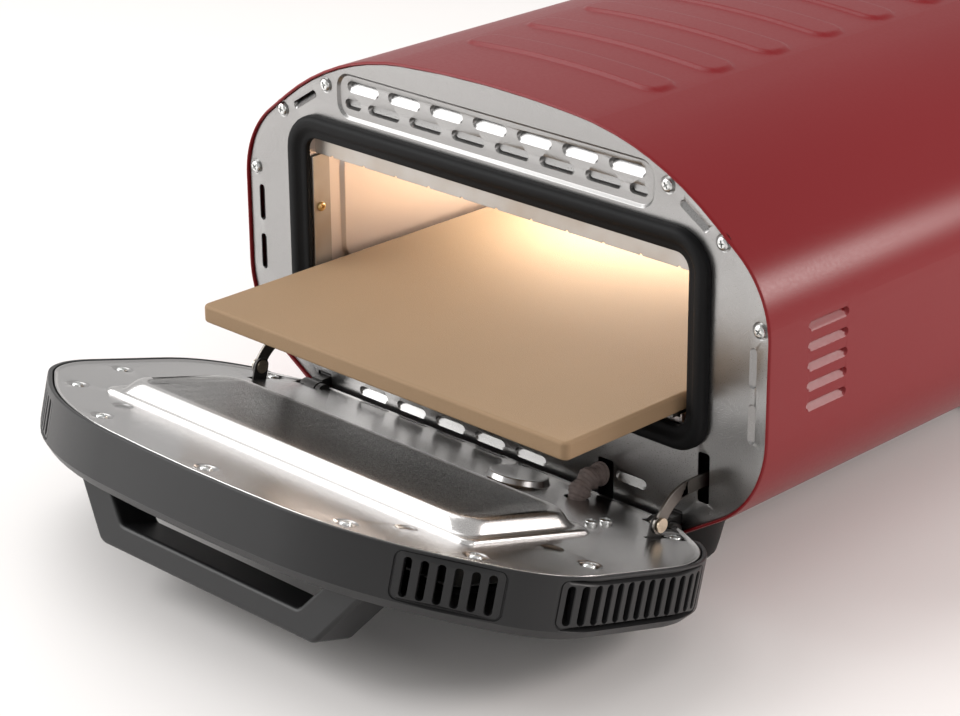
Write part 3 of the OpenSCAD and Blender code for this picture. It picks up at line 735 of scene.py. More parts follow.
def shell_rows():
    rows = [0.0, 12.0, 26.0, 40.0]
    reach = pad_half_width + pad_wall
    for i in range(pad_count):
        middle = pad_first + i * pad_pitch
        rows += spaced(middle - reach - 1, middle - pad_half_width + pad_wall + 2, 1.3)
        rows += spaced(middle - pad_half_width + pad_wall + 2, middle + pad_half_width - pad_wall - 2, 4)
        rows += spaced(middle + pad_half_width - pad_wall - 2, middle + reach + 1, 1.3)
        rows.append(middle + reach + 1)
    return rows + [385.0, 402.0, body_d]


def shell_columns():
    fine_from = pad_half_length - pad_half_width - 6
    crown = spaced(0, fine_from, 9) + spaced(fine_from, pad_half_length + pad_wall + 3, 1.5)
    crown.append(pad_half_length + pad_wall + 3)
    rest = [m for m in dome_marks(0) if crown[-1] + 3 < m < dome_length - open_underside - 5]
    return sorted(crown + rest + [patch_top, patch_low]) + [dome_length - open_underside]


def pad_lift(s, y):
    """How far the blank is embossed: a smooth step inside the nearest long pad."""
    i = min(pad_count - 1, max(0, round((y - pad_first) / pad_pitch)))
    along = max(0.0, abs(s) - (pad_half_length - pad_half_width))
    across_pad = y - (pad_first + i * pad_pitch)
    inside = pad_half_width - math.hypot(along, across_pad)
    t = min(1.0, max(0.0, (inside + pad_wall / 2) / pad_wall))
    return pad_height * t * t * (3 - 2 * t)


bm = bmesh.new()
half_columns = shell_columns()
columns = [-s for s in half_columns[:0:-1]] + half_columns
chain = [bm.verts.new((s, 0, 0)) for s in columns]
edges = [bm.edges.new(pair) for pair in zip(chain, chain[1:])]
rows = shell_rows()
for here, there in zip(rows, rows[1:]):
    made = bmesh.ops.extrude_edge_only(bm, edges=edges)["geom"]
    verts = [g for g in made if isinstance(g, bmesh.types.BMVert)]
    bmesh.ops.translate(bm, verts=verts, vec=(0, there - here, 0))
    edges = [g for g in made if isinstance(g, bmesh.types.BMEdge)
             and abs(g.verts[0].co.y - there) < 1e-3 and abs(g.verts[1].co.y - there) < 1e-3]
for v in bm.verts:
    v.co.z = pad_lift(v.co.x, v.co.y)

# %% Side louvres of the shell
for side in (-1, 1):
    inside = [f for f in bm.faces
              if patch_top < side * f.calc_center_median().x < patch_low
              and patch_front < f.calc_center_median().y < patch_back]
    border = [e for f in inside for e in f.edges if sum(g in inside for g in e.link_faces) == 1]
    border = list(dict.fromkeys(border))
    bmesh.ops.delete(bm, geom=inside, context="FACES")
    rims = []
    for i in range(vent_count):
        mark = side_mark + side_c.y - (vent_z + i * vent_pitch)
        place = frame_at((side * mark, vent_y, 0), (0, 1, 0), (-side, 0, 0), (0, 0, -1))
        rims.append(louvre(bm, place, vent_length, vent_height, vent_depth))
    sheet(bm, [border] + rims, (0, 0, 1))

# %% Roll the hems and bend the blank
hem = [(-1.2, -0.15), (-2.0, -0.7), (-2.2, -1.4), (-1.6, -2.0), (0.4, -2.1)]
for y_end, outward in ((0.0, 1), (body_d, -1)):
    edges = [e for e in bm.edges if all(abs(v.co.y - y_end) < 1e-3 for v in e.verts)]
    for y, drop in hem:
        made = bmesh.ops.extrude_edge_only(bm, edges=edges)["geom"]
        for v in (g for g in made if isinstance(g, bmesh.types.BMVert)):
            v.co.y, v.co.z = y_end + outward * y, drop
        edges = [g for g in made if isinstance(g, bmesh.types.BMEdge)
                 and all(abs(v.co.y - y_end - outward * y) < 1e-3 for v in g.verts)]
for v in bm.verts:
    bent = dome_point(v.co.x, shell_face + v.co.z)
    v.co = (bent.x, v.co.y, bent.y)
piece("red_dome_shell", bm, on_body, "oven", red_paint, ["outer_shell"],
      sharp=26, thickness=0.7, towards=(0, 0, 1))

# %% [markdown]
# ## The front panel
# The panel is a satin stainless sheet. A long tray is pressed above the mouth and holds
# two rows of louvres, and two more rows sit below the mouth. Slots down the sides and on
# the shoulders are the same pressing, turned. The windows for the stays, the hinges and
# the cable sleeve are plain holes.

# %% Front panel
tray_x, tray_z0, tray_z1, tray_depth = 134.0, 240.0, 267.0, 1.8
panel_screw_at = [(189, 232), (146.4, 257.3), (218, 185.5)]
sleeve_x, sleeve_gap = 100.0, 29.5
side_slot = (25.5, 5.4, 3.4)


def row(count, pitch):
    """Evenly pitched places, centred on zero."""
    return [(i - (count - 1) / 2) * pitch for i in range(count)]


bm = bmesh.new()
edge = [dome_ring(bm, y, d) for y, d in ((1.0, 0.0), (0.4, 0.0), (0.0, -0.5))]
join(bm, *edge)
holes = [box_ring(bm, -166, 107, 166, 221, 8, 0)]
tray = [box_ring(bm, -tray_x - g, tray_z0 - g, tray_x + g, tray_z1 + g, 9 + g, y)
        for g, y in ((1.9, 0.0), (1.5, 0.3), (0.4, tray_depth - 0.3), (0.0, tray_depth))]
join(bm, *tray)
tray_rims = [louvre(bm, in_panel(x, 260.0, tray_depth), 29, 7.8, 5.0) for x in row(7, 37.7)]
second_row = [(x, 29) for x in row(6, 37.7)] + [(-122.5, 15), (122.5, 15)]
tray_rims += [louvre(bm, in_panel(x, 248.2, tray_depth), length, 6.8, 3.6, 0.3) for x, length in second_row]
sheet(bm, [tray[-1]] + tray_rims, (0, -1, 0))
for count, z in ((7, 50.5), (6, 62)):
    clear_of_sleeve = [x for x in row(count, 36.0) if abs(x - sleeve_x) > sleeve_gap]
    holes += [louvre(bm, in_panel(x, z), 27, 6.6, 4.4) for x in clear_of_sleeve]
for s in (-1, 1):
    for z in (126.0, 161.1):
        place = frame_at((s * 213.4, 0, z), (0, 0, s), (s, 0, 0), (0, 1, 0))
        holes.append(louvre(bm, place, *side_slot))
    holes.append(louvre(bm, in_panel(s * 167, 243, turn=-s * 32), *side_slot))
    holes.append(box_ring(bm, s * 173.6, 64, s * 182.8, 97, 2, 0, 3))
    holes.append(box_ring(bm, s * 149.5, 43.5, s * 162.5, 53.5, 1, 0, 2))
    holes += [dimple(bm, in_panel(s * x, z), 6.0, 0.6, 4.4) for x, z in panel_screw_at]
holes.append(louvre(bm, in_panel(121, 61), 25, 6.6, 4.4))
holes.append(box_ring(bm, sleeve_x - 6.5, 41, sleeve_x + 6.5, 69, 1.5, 0, 3))
sheet(bm, [edge[-1], tray[0]] + holes, (0, -1, 0))
piece("steel_front_panel", bm, on_body, "oven", panel_steel,
      ["front_panel"], sharp=28, thickness=0.9, towards=(0, -1, 0))

# %% [markdown]
# ## Screws
# The screws are pan heads with a cross recess. One function draws a head round its own
# axis: stepped rings for the dome, a flat crown with a cross-shaped hole, and the cross
# sunk into it. A shank goes down into the sheet.

# %% Screw heads
def cross_points(reach, half):
    quarter = [(reach, -half), (reach, half), (half, half)]
    points = []
    for turn in range(4):
        a = math.radians(90 * turn)
        for x, y in quarter:
            points.append(Matrix.Rotation(a, 2) @ Vector((x, y)))
    return points


def screw_head(bm, place, radius, turn=20.0):
    spun = place @ Matrix.Rotation(math.radians(turn), 4, "Z")
    profile = ((0.5, -1.2), (0.5, 0.0), (1.0, 0.0), (1.0, 0.28), (0.94, 0.45), (0.80, 0.58), (0.62, 0.65))
    rings = [ring(bm, [spun @ Vector((p.x, p.y, h * radius)) for p in circle_points(r * radius, 24)])
             for r, h in profile]
    join(bm, *rings)
    lid(bm, rings[0])
    top, deep = (ring(bm, [spun @ Vector((p.x, p.y, h * radius)) for p in
                           cross_points(reach * radius, half * radius)])
                 for h, reach, half in ((0.65, 0.50, 0.12), (0.22, 0.30, 0.08)))
    sheet(bm, [rings[-1], top], spun.to_3x3() @ Vector((0, 0, 1)))
    join(bm, top, deep)
    lid(bm, deep)


bm = bmesh.new()
for s in (-1, 1):
    for i, (x, z) in enumerate(panel_screw_at):
        outward = frame_at((s * x, 0.55, z), (1, 0, 0), (0, 0, 1), (0, -1, 0))
        screw_head(bm, outward, 4.3, 25 * i + 10 * s)
piece("panel_screw_heads", bm, on_body, "oven", screw_zinc, ["panel_screws"], sharp=40)

# %% [markdown]
# ## The mouth gasket
# A black silicone frame seals the door. Its section is a low foot with a taller outer lip
# and a soft hollow between them, and its upper corners are cut more than its lower ones.
# Rings of rounded rectangles, each at its own depth, make that section all the way round.

# %% Gasket
lip_x, lip_z0, lip_z1, lip_corner = 165.0, 109.0, 219.0, 10.0
low_grow, low_cut = 0.905, 0.75


def gasket_ring(bm, grow, y):
    r_low = lip_corner + grow * low_cut
    r_top = lip_corner + grow
    x, z0, z1 = lip_x + grow, lip_z0 - grow * low_grow, lip_z1 + grow
    corners = [((-x, z0), r_low), ((x, z0), r_low), ((x, z1), r_top), ((-x, z1), r_top)]
    return ring(bm, at_y(rounded_points(corners, 7), y))


bm = bmesh.new()
section = [(0.0, 1.0), (0.0, -1.6), (0.8, -2.6), (3.0, -3.0), (5.5, -3.4), (7.2, -5.2), (9.5, -6.4),
           (12.5, -6.6), (14.6, -5.6), (15.6, -3.6), (15.8, -0.2)]
rings = [gasket_ring(bm, g, y) for g, y in section]
join(bm, *rings, rings[0])
piece("mouth_gasket_frame", bm, on_body, "oven", gasket_rubber,
      ["mouth_gasket"], sharp=50)

# %% [markdown]
# ## The cavity
# The liner is thin bright sheet that heat has turned a little gold. Its side walls carry
# a raised field, pressed to stop the sheet from drumming, and a trim angle with a brass
# screw covers the joint behind the mouth.

# %% Cavity liner
cavity_x, cavity_z0, cavity_z1, cavity_y0, cavity_y1 = 166.0, 103.2, 222.0, 1.2, 360.0
trim_in, trim_out, trim_y = 163.6, 165.2, 9.4


def pressed_wall(bm, to_place, width, height, margin, lift):
    """A sheet with one raised field, drawn flat and placed by to_place(u, v, lift)."""
    outer = ring(bm, [to_place(p.x, p.y, 0) for p in box_points(0, 0, width, height, 0.5, 1)])
    rings = []
    for g, h in ((0, 0), (0.8, lift * 0.15), (2.6, lift * 0.85), (3.4, lift)):
        low = margin * 0.6 + g
        points = box_points(margin + g, low, width - margin - g, height - low, 16 - g * 0.8)
        rings.append(ring(bm, [to_place(p.x, p.y, h) for p in points]))
    join(bm, *rings)
    lid(bm, rings[-1])
    return outer, rings[0]


for side, name in ((-1, "left"), (1, "right")):
    bm = bmesh.new()
    outer, field = pressed_wall(
        bm, lambda u, v, h: Vector((side * (cavity_x - h), cavity_y0 + u, cavity_z0 + v)),
        cavity_y1 - cavity_y0, cavity_z1 - cavity_z0, 26, 2.2)
    sheet(bm, [outer, field], (-side, 0, 0))
    piece("liner_wall_" + name, bm, on_body, "oven", liner_steel,
          ["cavity_wall_" + name], thickness=0.7, towards=(-side, 0, 0))
bm = bmesh.new()
outer, field = pressed_wall(
    bm, lambda u, v, h: Vector((-cavity_x + u, cavity_y1 - h, cavity_z0 + v)),
    2 * cavity_x, cavity_z1 - cavity_z0, 28, 2.5)
sheet(bm, [outer, field], (0, -1, 0))
piece("liner_back_wall", bm, on_body, "oven", liner_steel, ["cavity_back"],
      thickness=0.7, towards=(0, -1, 0))

# %% Trim angles with brass screws
for side, name in ((-1, "left"), (1, "right")):
    bm = bmesh.new()
    bmesh.ops.create_cube(bm, size=1)
    bmesh.ops.scale(bm, vec=(trim_out - trim_in, 15, 96), verts=bm.verts)
    bmesh.ops.translate(bm, vec=(side * (trim_in + trim_out) / 2, trim_y, 156), verts=bm.verts)
    piece("liner_trim_" + name, bm, on_body, "oven", shield_steel, bevel=0.4)
bm = bmesh.new()
for side in (-1, 1):
    for z in (118, 168):
        screw_head(bm, frame_at((side * trim_in, 8.0, z), (0, 1, 0), (0, 0, 1), (-side, 0, 0)), 3.2)
piece("liner_trim_screws", bm, on_body, "oven", brass_yellow)

# %% [markdown]
# ## The baking stone
# The stone is pressed cordierite with soft arrises. A cube is bevelled twice: once on its
# four upright edges for the corners, and again all round for the worn arris.

# %% Stone
stone_low, stone_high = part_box("baking_stone")
corner_round, worn_round = 5, 2.2
bm = bmesh.new()
bmesh.ops.create_cube(bm, size=1)
bmesh.ops.scale(bm, vec=(stone_high - stone_low) / MM, verts=bm.verts)
bmesh.ops.translate(bm, vec=(stone_high + stone_low) / 2 / MM, verts=bm.verts)
upright = [e for e in bm.edges if abs(e.verts[0].co.z - e.verts[1].co.z) > 1]
bmesh.ops.bevel(bm, geom=upright, offset=corner_round, segments=6, profile=0.5, affect="EDGES", material=-1)
rims = [e for e in bm.edges if abs(e.verts[0].co.z - e.verts[1].co.z) < 1e-3 and len(e.link_faces) == 2
        and abs(e.calc_face_angle()) > 1]
bmesh.ops.bevel(bm, geom=rims, offset=worn_round, segments=4, profile=0.5, affect="EDGES", material=-1)
piece("stone_slab", bm, Matrix(), "stone", baked_stone, ["baking_stone"], sharp=60)

# %% [markdown]
# ## The door's inner plate
# Seen with the door down, the plate is the largest steel surface. Its edge is rolled into
# a thin bright lip, the screws sit in round dimples, and there are spare dimples without
# screws. It is drawn as it stands when the door is shut.

# %% Inner plate
door_rise = 3.0
plate_y = -6.3
cover_y = -42.8
window = (-140, 134, 140, 206)
door_screws = [(108.3, 266.7), (176.4, 231.4), (207, 170.3), (179.2, 60.6)]
spare_dimples = [(125.9, 236.2), (177.7, 169.7)]
control_screws = [(146.0, 100.0), (146.5, 87.0)]
top_screw = (0, 276.4)
screw_dimple = (8.0, 1.9, 4.6)
boss_centre = Vector((59.4, 71))


def on_plate(x, z, y=plate_y):
    """A place on the plate's visible face, where inward is -Y."""
    return frame_at((x, y, z), (-1, 0, 0), (0, 0, 1), (0, -1, 0))


bm = bmesh.new()
lip = [dome_ring(bm, plate_y + y, d, door_rise) for y, d in
       ((-2.5, 0.5), (0.2, 0.5), (0.7, 0.2), (0.8, -0.4), (0.6, -1.1), (0.1, -1.8), (0.0, -2.6))]
join(bm, *lip)
holes = [box_ring(bm, -152, 126, 152, 214, 8, plate_y)]
for s in (-1, 1):
    holes += [dimple(bm, on_plate(s * x, z), *screw_dimple) for x, z in door_screws]
    holes += [dimple(bm, on_plate(s * x, z), 7.6, 1.4, 4.6) for x, z in spare_dimples]
    holes.append(box_ring(bm, s * 174, 68, s * 179.5, 85, 1, plate_y, 2))
    holes.append(box_ring(bm, s * 145.5, 44, s * 166.5, 53.5, 1.5, plate_y, 2))
holes.append(dimple(bm, on_plate(*top_screw), *screw_dimple))
holes.append(ring(bm, at_y([p + Vector((sleeve_x, 61.8)) for p in circle_points(7.6, 20)], plate_y)))
boss = [ring(bm, at_y([p + boss_centre for p in circle_points(r, 40)], plate_y + h))
        for r, h in ((20.5, 0), (19.8, 0.8), (19.0, 3.6), (18.4, 4.2), (17.4, 4.4))]
join(bm, *boss)
lid(bm, boss[-1])
holes.append(boss[0])
sheet(bm, [lip[-1]] + holes, (0, 1, 0))
piece("door_steel_plate", bm, on_door, "door", plate_steel,
      ["door_inner_plate"], sharp=32, thickness=0.8, towards=(0, 1, 0))

# %% Door screws
bm = bmesh.new()
out_of_plate = [(s * x, z) for s in (-1, 1) for x, z in door_screws] + [top_screw]
for i, (x, z) in enumerate(out_of_plate):
    screw_head(bm, frame_at((x, plate_y - screw_dimple[1], z), (1, 0, 0), (0, 0, -1), (0, 1, 0)), 3.9, 31 * i)
for x, z in control_screws:
    screw_head(bm, frame_at((x, plate_y, z), (1, 0, 0), (0, 0, -1), (0, 1, 0)), 4.2, 40 + z)
piece("door_screw_heads", bm, on_door, "door", screw_zinc, ["plate_screws"], sharp=40)

# %% [markdown]
# ## The window ridge
# A pressed frame stands round the window and stiffens the plate. Its section has a narrow
# first step, a valley, and then a broad rounded ridge that falls to the glass. Each ring
# of the section lies between an outer and an inner rectangle, by a share of the way.

# %% Window ridge
outer_rect, outer_corner = (-162.0, 115.5, 162.0, 223.3), 7.0
inner_rect, inner_corner = window, 9.0
ridge_section = [
    (0.00, -0.6), (0.00, 0.4), (0.03, 1.8), (0.08, 2.6), (0.17, 2.8), (0.22, 2.5), (0.26, 2.6),
    (0.31, 3.8), (0.40, 7.4), (0.46, 9.4), (0.53, 10.6), (0.62, 11.1), (0.80, 11.1), (0.90, 10.6),
    (0.96, 9.6), (0.99, 8.0), (1.00, 6.6),
]


def ridge_ring(bm, share, lift):
    x0, z0, x1, z1 = (a + (b - a) * share for a, b in zip(outer_rect, inner_rect))
    bulge = outer_corner + (inner_corner - outer_corner) * share + 9 * math.sin(math.pi * min(1, share)) ** 2
    return box_ring(bm, x0, z0, x1, z1, bulge, plate_y + lift, 8)


bm = bmesh.new()
rings = [ridge_ring(bm, share, lift) for share, lift in ridge_section]
join(bm, *rings)
piece("window_ridge", bm, on_door, "door", ridge_steel, ["window_frame"],
      sharp=60, thickness=0.6, towards=(0, 1, 0))

# %% [markdown]
# ## The window's pane, seal and well
# The inner pane lies near the top of the ridge in a thin black seal. Under it a dark well
# runs through the door to the outer pane, with a vented sheet along its lower side.

# %% Window pane and well
pane_back, pane_front = plate_y + 6.4, plate_y + 9.4
pane_box, pane_corner = (-139.4, 134.6, 139.4, 205.4), 8.4
well_box, well_corner, well_end = (-142, 131.6, 142, 208), 9, -37.6
strip_x, strip_y, strip_z = 134.0, -0.7, 133.4
slot_pitch, slot_width, slot_length, slot_centre = 15.2, 6.0, 15.0, -11.0


def box_tube(bm, section, box, corner):
    """Rings of a rounded box that follow a section of (outset, y) points."""
    x0, z0, x1, z1 = box
    rings = [box_ring(bm, x0 - out, z0 - out, x1 + out, z1 + out, corner + out, y, 8)
             for out, y in section]
    join(bm, *rings)
    return rings


bm = bmesh.new()
pane_section = [(-0.6, pane_back), (-0.1, pane_back + 0.5), (-0.1, pane_front - 0.5), (-0.6, pane_front)]
pane = box_tube(bm, pane_section, pane_box, pane_corner)
lid(bm, pane[0])
lid(bm, pane[-1])
piece("window_pane", bm, on_door, "door", clear_glass, ["inner_glass"], sharp=30)

bm = bmesh.new()
seal_section = [(-0.3, pane_front), (0.0, pane_front + 0.7), (0.7, pane_front + 0.8),
                (1.2, pane_front + 0.2), (1.2, pane_back), (-0.3, pane_back), (-0.3, pane_front)]
box_tube(bm, seal_section, pane_box, pane_corner)
piece("window_seal", bm, on_door, "door", gasket_rubber, sharp=40)

bm = bmesh.new()
box_tube(bm, [(0, well_end), (0, pane_back - 0.6)], well_box, well_corner)
piece("window_well", bm, on_door, "door", dark_steel, sharp=40, thickness=0.5,
      towards=(0, 0, -1))

bm = bmesh.new()
strip_corners = ((-strip_x, well_end), (strip_x, well_end), (strip_x, strip_y), (-strip_x, strip_y))
strip_edge = ring(bm, [Vector((x, y, strip_z)) for x, y in strip_corners])
strip_slots = [ring(bm, [Vector((x + p.y, slot_centre + p.x, strip_z))
                         for p in pill_points(slot_length, slot_width)]) for x in row(17, slot_pitch)]
sheet(bm, [strip_edge] + strip_slots, (0, 0, 1))
piece("window_vents", bm, on_door, "door", shield_steel, ["door_vent_strip"],
      thickness=0.7, towards=(0, 0, 1))

# %% [markdown]
# ## The black rim and cover
# The door's outer half is one plastic moulding: a wall that follows the dome, a chamfer
# at its front, and a flat face with the window. Four ventilation fields are sunk into the
# wall, each with a row of upright slots. The wall is lofted from rings, the fields are
# cut out of it, and each field is drawn flat with its slots and bent onto the wall.

# %% Rim and cover
rim_out, rim_in, chamfer = 4.4, 1.5, 6.0
field_depth, slot_depth = 0.15, 5.0
rim_stop = -13.4
vent_bar, vent_slot_w, vent_round = 7.0, 5.6, 6
marks_up = dome_path(0, door_rise)
shoulder_end = marks_up[0][0] + marks_up[2][0]
side_start = sum(length for length, _ in marks_up[:6])
shoulder_slots = [shoulder_end - 32 + 9.5 * i for i in range(6)]
side_slots = [side_start - (84.4 - 9.1 * i) for i in range(13)]
fields = [
    (min(shoulder_slots) - 9, max(shoulder_slots) + 9, shoulder_slots),
    (min(side_slots) - 8, max(side_slots) + 8, side_slots),
]
wall_y0, wall_y1 = cover_y + chamfer, plate_y - 0.4
rim_marks = sorted(set([round(m, 3) for m in dome_marks(door_rise)]
                       + [round(e, 3) for f in fields for e in f[:2]]))
rim_marks = [m for i, m in enumerate(rim_marks) if i == 0 or m - rim_marks[i - 1] > 0.5]

bm = bmesh.new()
profile = [(plate_y - 3, rim_in), (plate_y + 0.6, rim_in), (plate_y + 1.0, rim_in + 0.5),
           (plate_y + 1.0, rim_out - 0.8), (plate_y + 0.6, rim_out - 0.2), (wall_y1, rim_out),
           (wall_y0, rim_out), (cover_y + 0.8, -0.4), (cover_y, -1.6)]
rings = [dome_ring(bm, y, d, door_rise, rim_marks) for y, d in profile]
join(bm, *rings)
hole, well = (box_ring(bm, -142, 132, 142, 208, 10, y) for y in (cover_y, cover_y + 2.5))
join(bm, hole, well)
sheet(bm, [rings[-1], hole], (0, -1, 0))


def is_field(face, low, high, side):
    """True for the wall's quads between two marks on one side."""
    ys = [v.co.y for v in face.verts]
    if abs(min(ys) - wall_y0) > 0.01 or abs(max(ys) - wall_y1) > 0.01:
        return False
    centre = face.calc_center_median()
    if centre.x * side < 0:
        return False
    inner = [m for m in rim_marks if low - 0.01 <= m <= high + 0.01]
    middles = [(dome_point(side * a, rim_out, door_rise) + dome_point(side * b, rim_out, door_rise)) / 2
               for a, b in zip(inner, inner[1:])]
    return any((Vector((centre.x, centre.z)) - m).length < 0.2 for m in middles)


for side in (-1, 1):
    for low, high, slots in fields:
        gone = [f for f in bm.faces if is_field(f, low, high, side)]
        bmesh.ops.delete(bm, geom=gone, context="FACES")
        inner = [m for m in rim_marks if low - 0.01 <= m <= high + 0.01]
        border = ring(bm, [Vector((m, wall_y0, 0)) for m in inner]
                      + [Vector((m, wall_y1, 0)) for m in reversed(inner)])
        steps = [ring(bm, [Vector((p.x, p.y, h)) for p in
                           box_points(low + g, wall_y0 + g, high - g, wall_y1 - 0.2 - g * 0.3, 6 - g)])
                 for g, h in ((1.0, 0.0), (1.3, -0.9), (1.9, -0.9), (2.3, -field_depth))]
        join(bm, *steps)
        rims = []
        for mark in slots:
            turned = [Vector((mark - p.y, (wall_y0 + wall_y1) / 2 + p.x))
                      for p in pill_points(wall_y1 - wall_y0 - vent_bar, vent_slot_w, vent_round)]
            steps_in = [ring(bm, [Vector((mark + (p.x - mark) * narrow, p.y, h)) for p in turned])
                        for narrow, h in ((1, -field_depth), (0.82, -field_depth - 0.5), (0.80, -slot_depth))]
            join(bm, *steps_in)
            rims.append(steps_in[0])
        sheet(bm, [border, steps[0]], (0, 0, 1))
        sheet(bm, [steps[-1]] + rims, (0, 0, 1))
        linked = [v for v in bm.verts if v.co.z < 0.01 and v.co.z > -slot_depth - 0.1
                  and low - 0.1 < v.co.x < high + 0.1 and wall_y0 - 0.1 < v.co.y < wall_y1 + 0.1]
        for v in linked:
            bent = dome_point(side * v.co.x, rim_out + v.co.z, door_rise)
            v.co = (bent.x, v.co.y, bent.y)
for v in bm.verts:
    if v.co.z < base_z - rim_in + 0.3 and v.co.y > rim_stop:
        v.co.y = rim_stop
piece("door_black_moulding", bm, on_door, "door", rim_plastic,
      ["door_cover", "grille_side_left", "grille_side_right",
       "grille_shoulder_left", "grille_shoulder_right"], sharp=32)

# %% [markdown]
# ## The handle
# The handle is a moulded bar on two raked arms. Its outline is drawn with rounded corners
# and extruded across the width of the grip, and the long edges are then bevelled.

# %% Handle
bar_front, bar_back = cover_y - 40, cover_y - 24
handle_low, handle_high = 233.0, 263.0
bm = bmesh.new()
corners = [((-130, cover_y + 1), 0), ((-96, bar_front), 9), ((96, bar_front), 9), ((130, cover_y + 1), 0),
           ((101, cover_y + 1), 0), ((79.5, bar_back), 6), ((-79.5, bar_back), 6), ((-101, cover_y + 1), 0)]
rim = ring(bm, [Vector((p.x, p.y, handle_low)) for p in rounded_points(corners, 6)])
made = bmesh.ops.extrude_face_region(bm, geom=lid(bm, rim))["geom"]
top = [g for g in made if isinstance(g, bmesh.types.BMVert)]
bmesh.ops.translate(bm, vec=(0, 0, handle_high - handle_low), verts=top)
piece("door_grip", bm, on_door, "door", rim_plastic, ["door_handle"],
      sharp=40, bevel=2.4, bevel_steps=4)

# %% [markdown]
# ## Stay arms
# Two steel stays hold the door at its stop. Each is a flat strip, bent like a sickle near
# its rivet and straight where it slides into the body. The outline is two arcs about one
# centre, a round eye at the rivet, and the straight tail.

# %% Stays
rivet = Vector((-39.1, 63.6))
bend_c, bend_r, strip_w = Vector((-13.0, 50.5)), 29.0, 9.0
for side, name in ((-1, "left"), (1, "right")):
    bm = bmesh.new()
    eye_at = math.degrees(math.atan2(rivet.y - bend_c.y, rivet.x - bend_c.x))
    outer_arc = [p + bend_c for p in circle_points(bend_r + strip_w / 2, 14, 90, eye_at - 96)]
    inner_arc = [p + bend_c for p in circle_points(bend_r - strip_w / 2, 14, eye_at - 6, 96 - eye_at)]
    eye = [p + rivet for p in circle_points(6.0, 12, eye_at - 20, 220)]
    outline = ([Vector((60, bend_c.y + bend_r + strip_w / 2))] + outer_arc + eye + inner_arc
               + [Vector((60, bend_c.y + bend_r - strip_w / 2))])
    x0 = side * 177
    rim = ring(bm, [Vector((x0, p.x, p.y)) for p in outline])
    hub = ring(bm, [Vector((x0, p.x + rivet.x, p.y + rivet.y)) for p in circle_points(3.1, 20)])
    made = bmesh.ops.extrude_face_region(bm, geom=sheet(bm, [rim, hub], (1, 0, 0)))["geom"]
    moved = [g for g in made if isinstance(g, bmesh.types.BMVert)]
    bmesh.ops.translate(bm, vec=(side * 2, 0, 0), verts=moved)
    piece("stay_strip_" + name, bm, on_body, "stay_" + name, dark_steel,
          ["stay_arm_" + name], bevel=0.35)

# %% [markdown]
# ## Knobs, feet and the cable sleeve
# These are round, so they are spun. A knob is a shallow cup with a fluted edge and a grip
# bar. A foot is a tapered cup on its pad. The sleeve is a woven tube, bent round the
# hinge, with a ripple at each turn of the weave.

# %% Knobs
def spun(bm, profile, steps):
    """Spins (radius, height) points about Z into a closed skin."""
    verts = [bm.verts.new((r, 0, h)) for r, h in profile]
    edges = [bm.edges.new(pair) for pair in zip(verts, verts[1:])]
    bmesh.ops.spin(bm, geom=verts + edges, cent=(0, 0, 0), axis=(0, 0, 1), angle=math.tau,
                   steps=steps, use_merge=True)
    bmesh.ops.remove_doubles(bm, verts=bm.verts, dist=0.01)


knob_x, knob_z = 82.0, 102.0
for side, name, body in ((1, "thermostat", "thermostat_dial"), (-1, "timer", "timer_dial")):
    bm = bmesh.new()
    spun(bm, [(0, 0.8), (18.5, 0.8), (20, 1.6), (20, 3.4), (18.8, 4.6), (17.8, 12.4), (16.6, 13.8),
              (14.8, 14.2), (10, 13.9), (0, 13.8)], 96)
    for v in bm.verts:
        radius = math.hypot(v.co.x, v.co.y)
        if 4.0 < v.co.z < 13 and radius > 15:
            wave = 1 - 0.022 * (0.5 - 0.5 * math.cos(24 * math.atan2(v.co.y, v.co.x)))
            v.co.x, v.co.y = v.co.x * wave, v.co.y * wave
    bar = bmesh.ops.create_cube(bm, size=1)["verts"]
    bmesh.ops.scale(bm, vec=(4.6, 33, 2.4), verts=bar)
    bmesh.ops.translate(bm, vec=(0, 0, 14.2), verts=bar)
    seat = frame_at((side * knob_x, cover_y, knob_z), (1, 0, 0), (0, 0, 1), (0, -1, 0))
    piece(name + "_dial_knob", bm, on_door @ seat, body, rim_plastic,
          [name + "_knob"], sharp=32, bevel=0.5)

# %% Feet
for node in ("foot_front_left", "foot_front_right", "foot_rear_left", "foot_rear_right"):
    low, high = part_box(node)
    centre = (low + high) / 2 / MM
    height = (high.z - low.z) / MM
    bm = bmesh.new()
    spun(bm, [(0, 0), (14.2, 0), (15.4, 0.8), (16.2, 2.6), (18.0, 9), (20.6, 20), (22.0, 25), (24, 26),
              (24.6, 28), (24.6, height), (0, height)], 64)
    piece(node + "_cup", bm, Matrix.Translation((centre.x, centre.y, low.z / MM)), "oven",
          foot_plastic, [node], sharp=30)

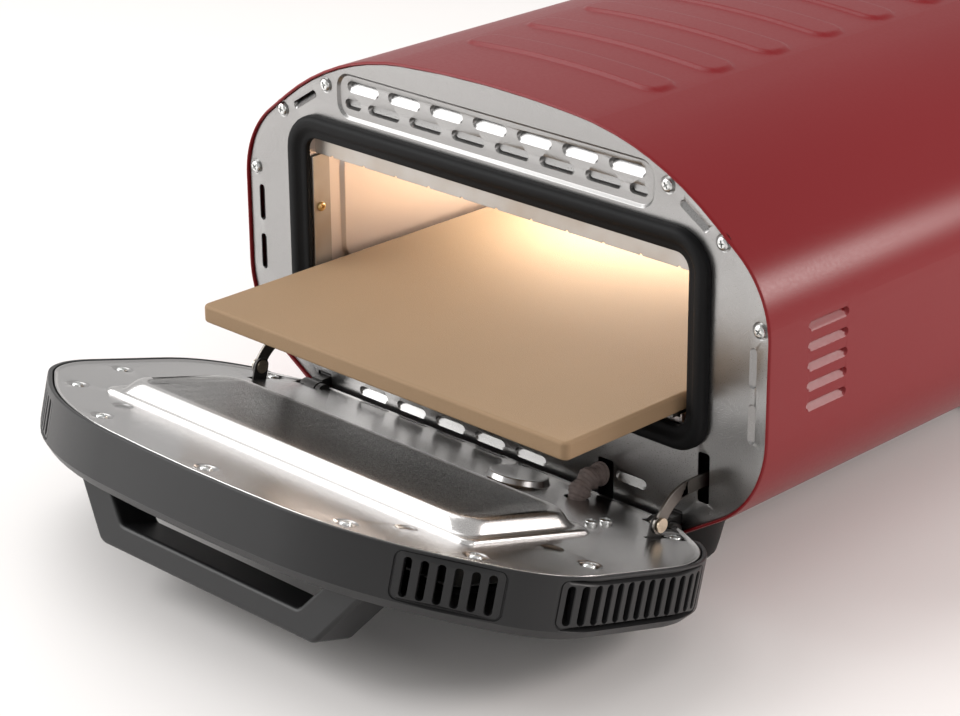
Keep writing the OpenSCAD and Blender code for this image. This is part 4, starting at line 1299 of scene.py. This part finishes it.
# %% Cable sleeve
sleeve_bend, sleeve_r, sleeve_turns = 18.0, 6.4, 15
bm = bmesh.new()
rings = []
for i in range(sleeve_turns * 3 + 1):
    angle = math.radians(-8 + 98 * i / (sleeve_turns * 3))
    swell = sleeve_r + (0.5, 0.0, -0.3)[i % 3] + 0.9 * math.sin(i * 0.43 + 1)
    turn = Matrix.Translation((sleeve_x, hinge.y, hinge.z)) @ Matrix.Rotation(-angle, 4, "X")
    points = [turn @ Vector((p.x, 0, sleeve_bend + p.y)) for p in circle_points(swell, 20)]
    rings.append(ring(bm, points))
join(bm, *rings)
lid(bm, rings[0])
lid(bm, rings[-1])
piece("braided_cable_sleeve", bm, on_door, "door", sleeve_fibre,
      ["cable_sleeve"], sharp=80)

# %% [markdown]
# ## The remaining parts
# Brackets, rails, insulation, the outer glass and the rear fittings have the right shape.
# Each gets its finish, and where an edge would show, a copy with small rounded edges
# stands for the CAD node.

# %% Softened copies
softened_nodes = {
    "base_pan": (zinc_sheet, 0.3), "rear_panel": (zinc_sheet, 0.25), "power_inlet": (foot_plastic, 0.5),
    "rear_spacers": (foot_plastic, 0.8), "terminal_block": (white_ceramic, 0.6),
    "stone_carriage": (dark_steel, 0.5), "cavity_lintel": (shield_steel, 0.15),
    "stay_lugs": (black_steel, 0.3), "insulation_top": (white_fibre, 2.0),
    "insulation_back": (white_fibre, 2.0),
}
for name in ("left", "right"):
    softened_nodes["stone_rail_" + name] = (liner_steel, 0.25)
    softened_nodes["hinge_bracket_" + name] = (black_steel, 0.5)
    softened_nodes["hinge_leaf_" + name] = (black_steel, 0.5)
    softened_nodes["insulation_" + name] = (white_fibre, 2.0)
for name, (made, width) in softened_nodes.items():
    softened(name, made, width)

# %% Finishes of the CAD nodes that stay
kept_finish = {
    "foot_pads": pad_rubber, "cavity_ceiling": liner_steel, "cavity_floor": liner_steel,
    "upper_heater": heater_metal, "lower_heater": heater_metal,
    "temperature_probe": probe_copper, "rear_screws": screw_zinc, 
    "outer_glass": smoked_glass, "handle_screws": screw_zinc, "hinge_pins": screw_zinc,
    "stay_rivets": rivet_steel, "thermostat_body": zinc_sheet, "timer_body": zinc_sheet,
    "indicator_lens": lens_red,
}
for name, made in kept_finish.items():
    mesh = nodes[name].data
    mesh.materials.clear()
    mesh.materials.append(made)
bare = [n for n, o in nodes.items() if not o.hide_render and n not in kept_finish]
print("CAD nodes without a finish:", bare)

# %% [markdown]
# ## Warm light in the cavity
# The glow at the back comes from the heaters, so a small warm lamp lies under the ceiling.

# %% Cavity lamp
area_light("cavity_glow", (-0.02, (panel_face + 215) * MM, 0.206), (0.0, (panel_face + 190) * MM, 0.13),
           (0.22, 0.2), 2.0, (1.0, 0.94, 0.85))
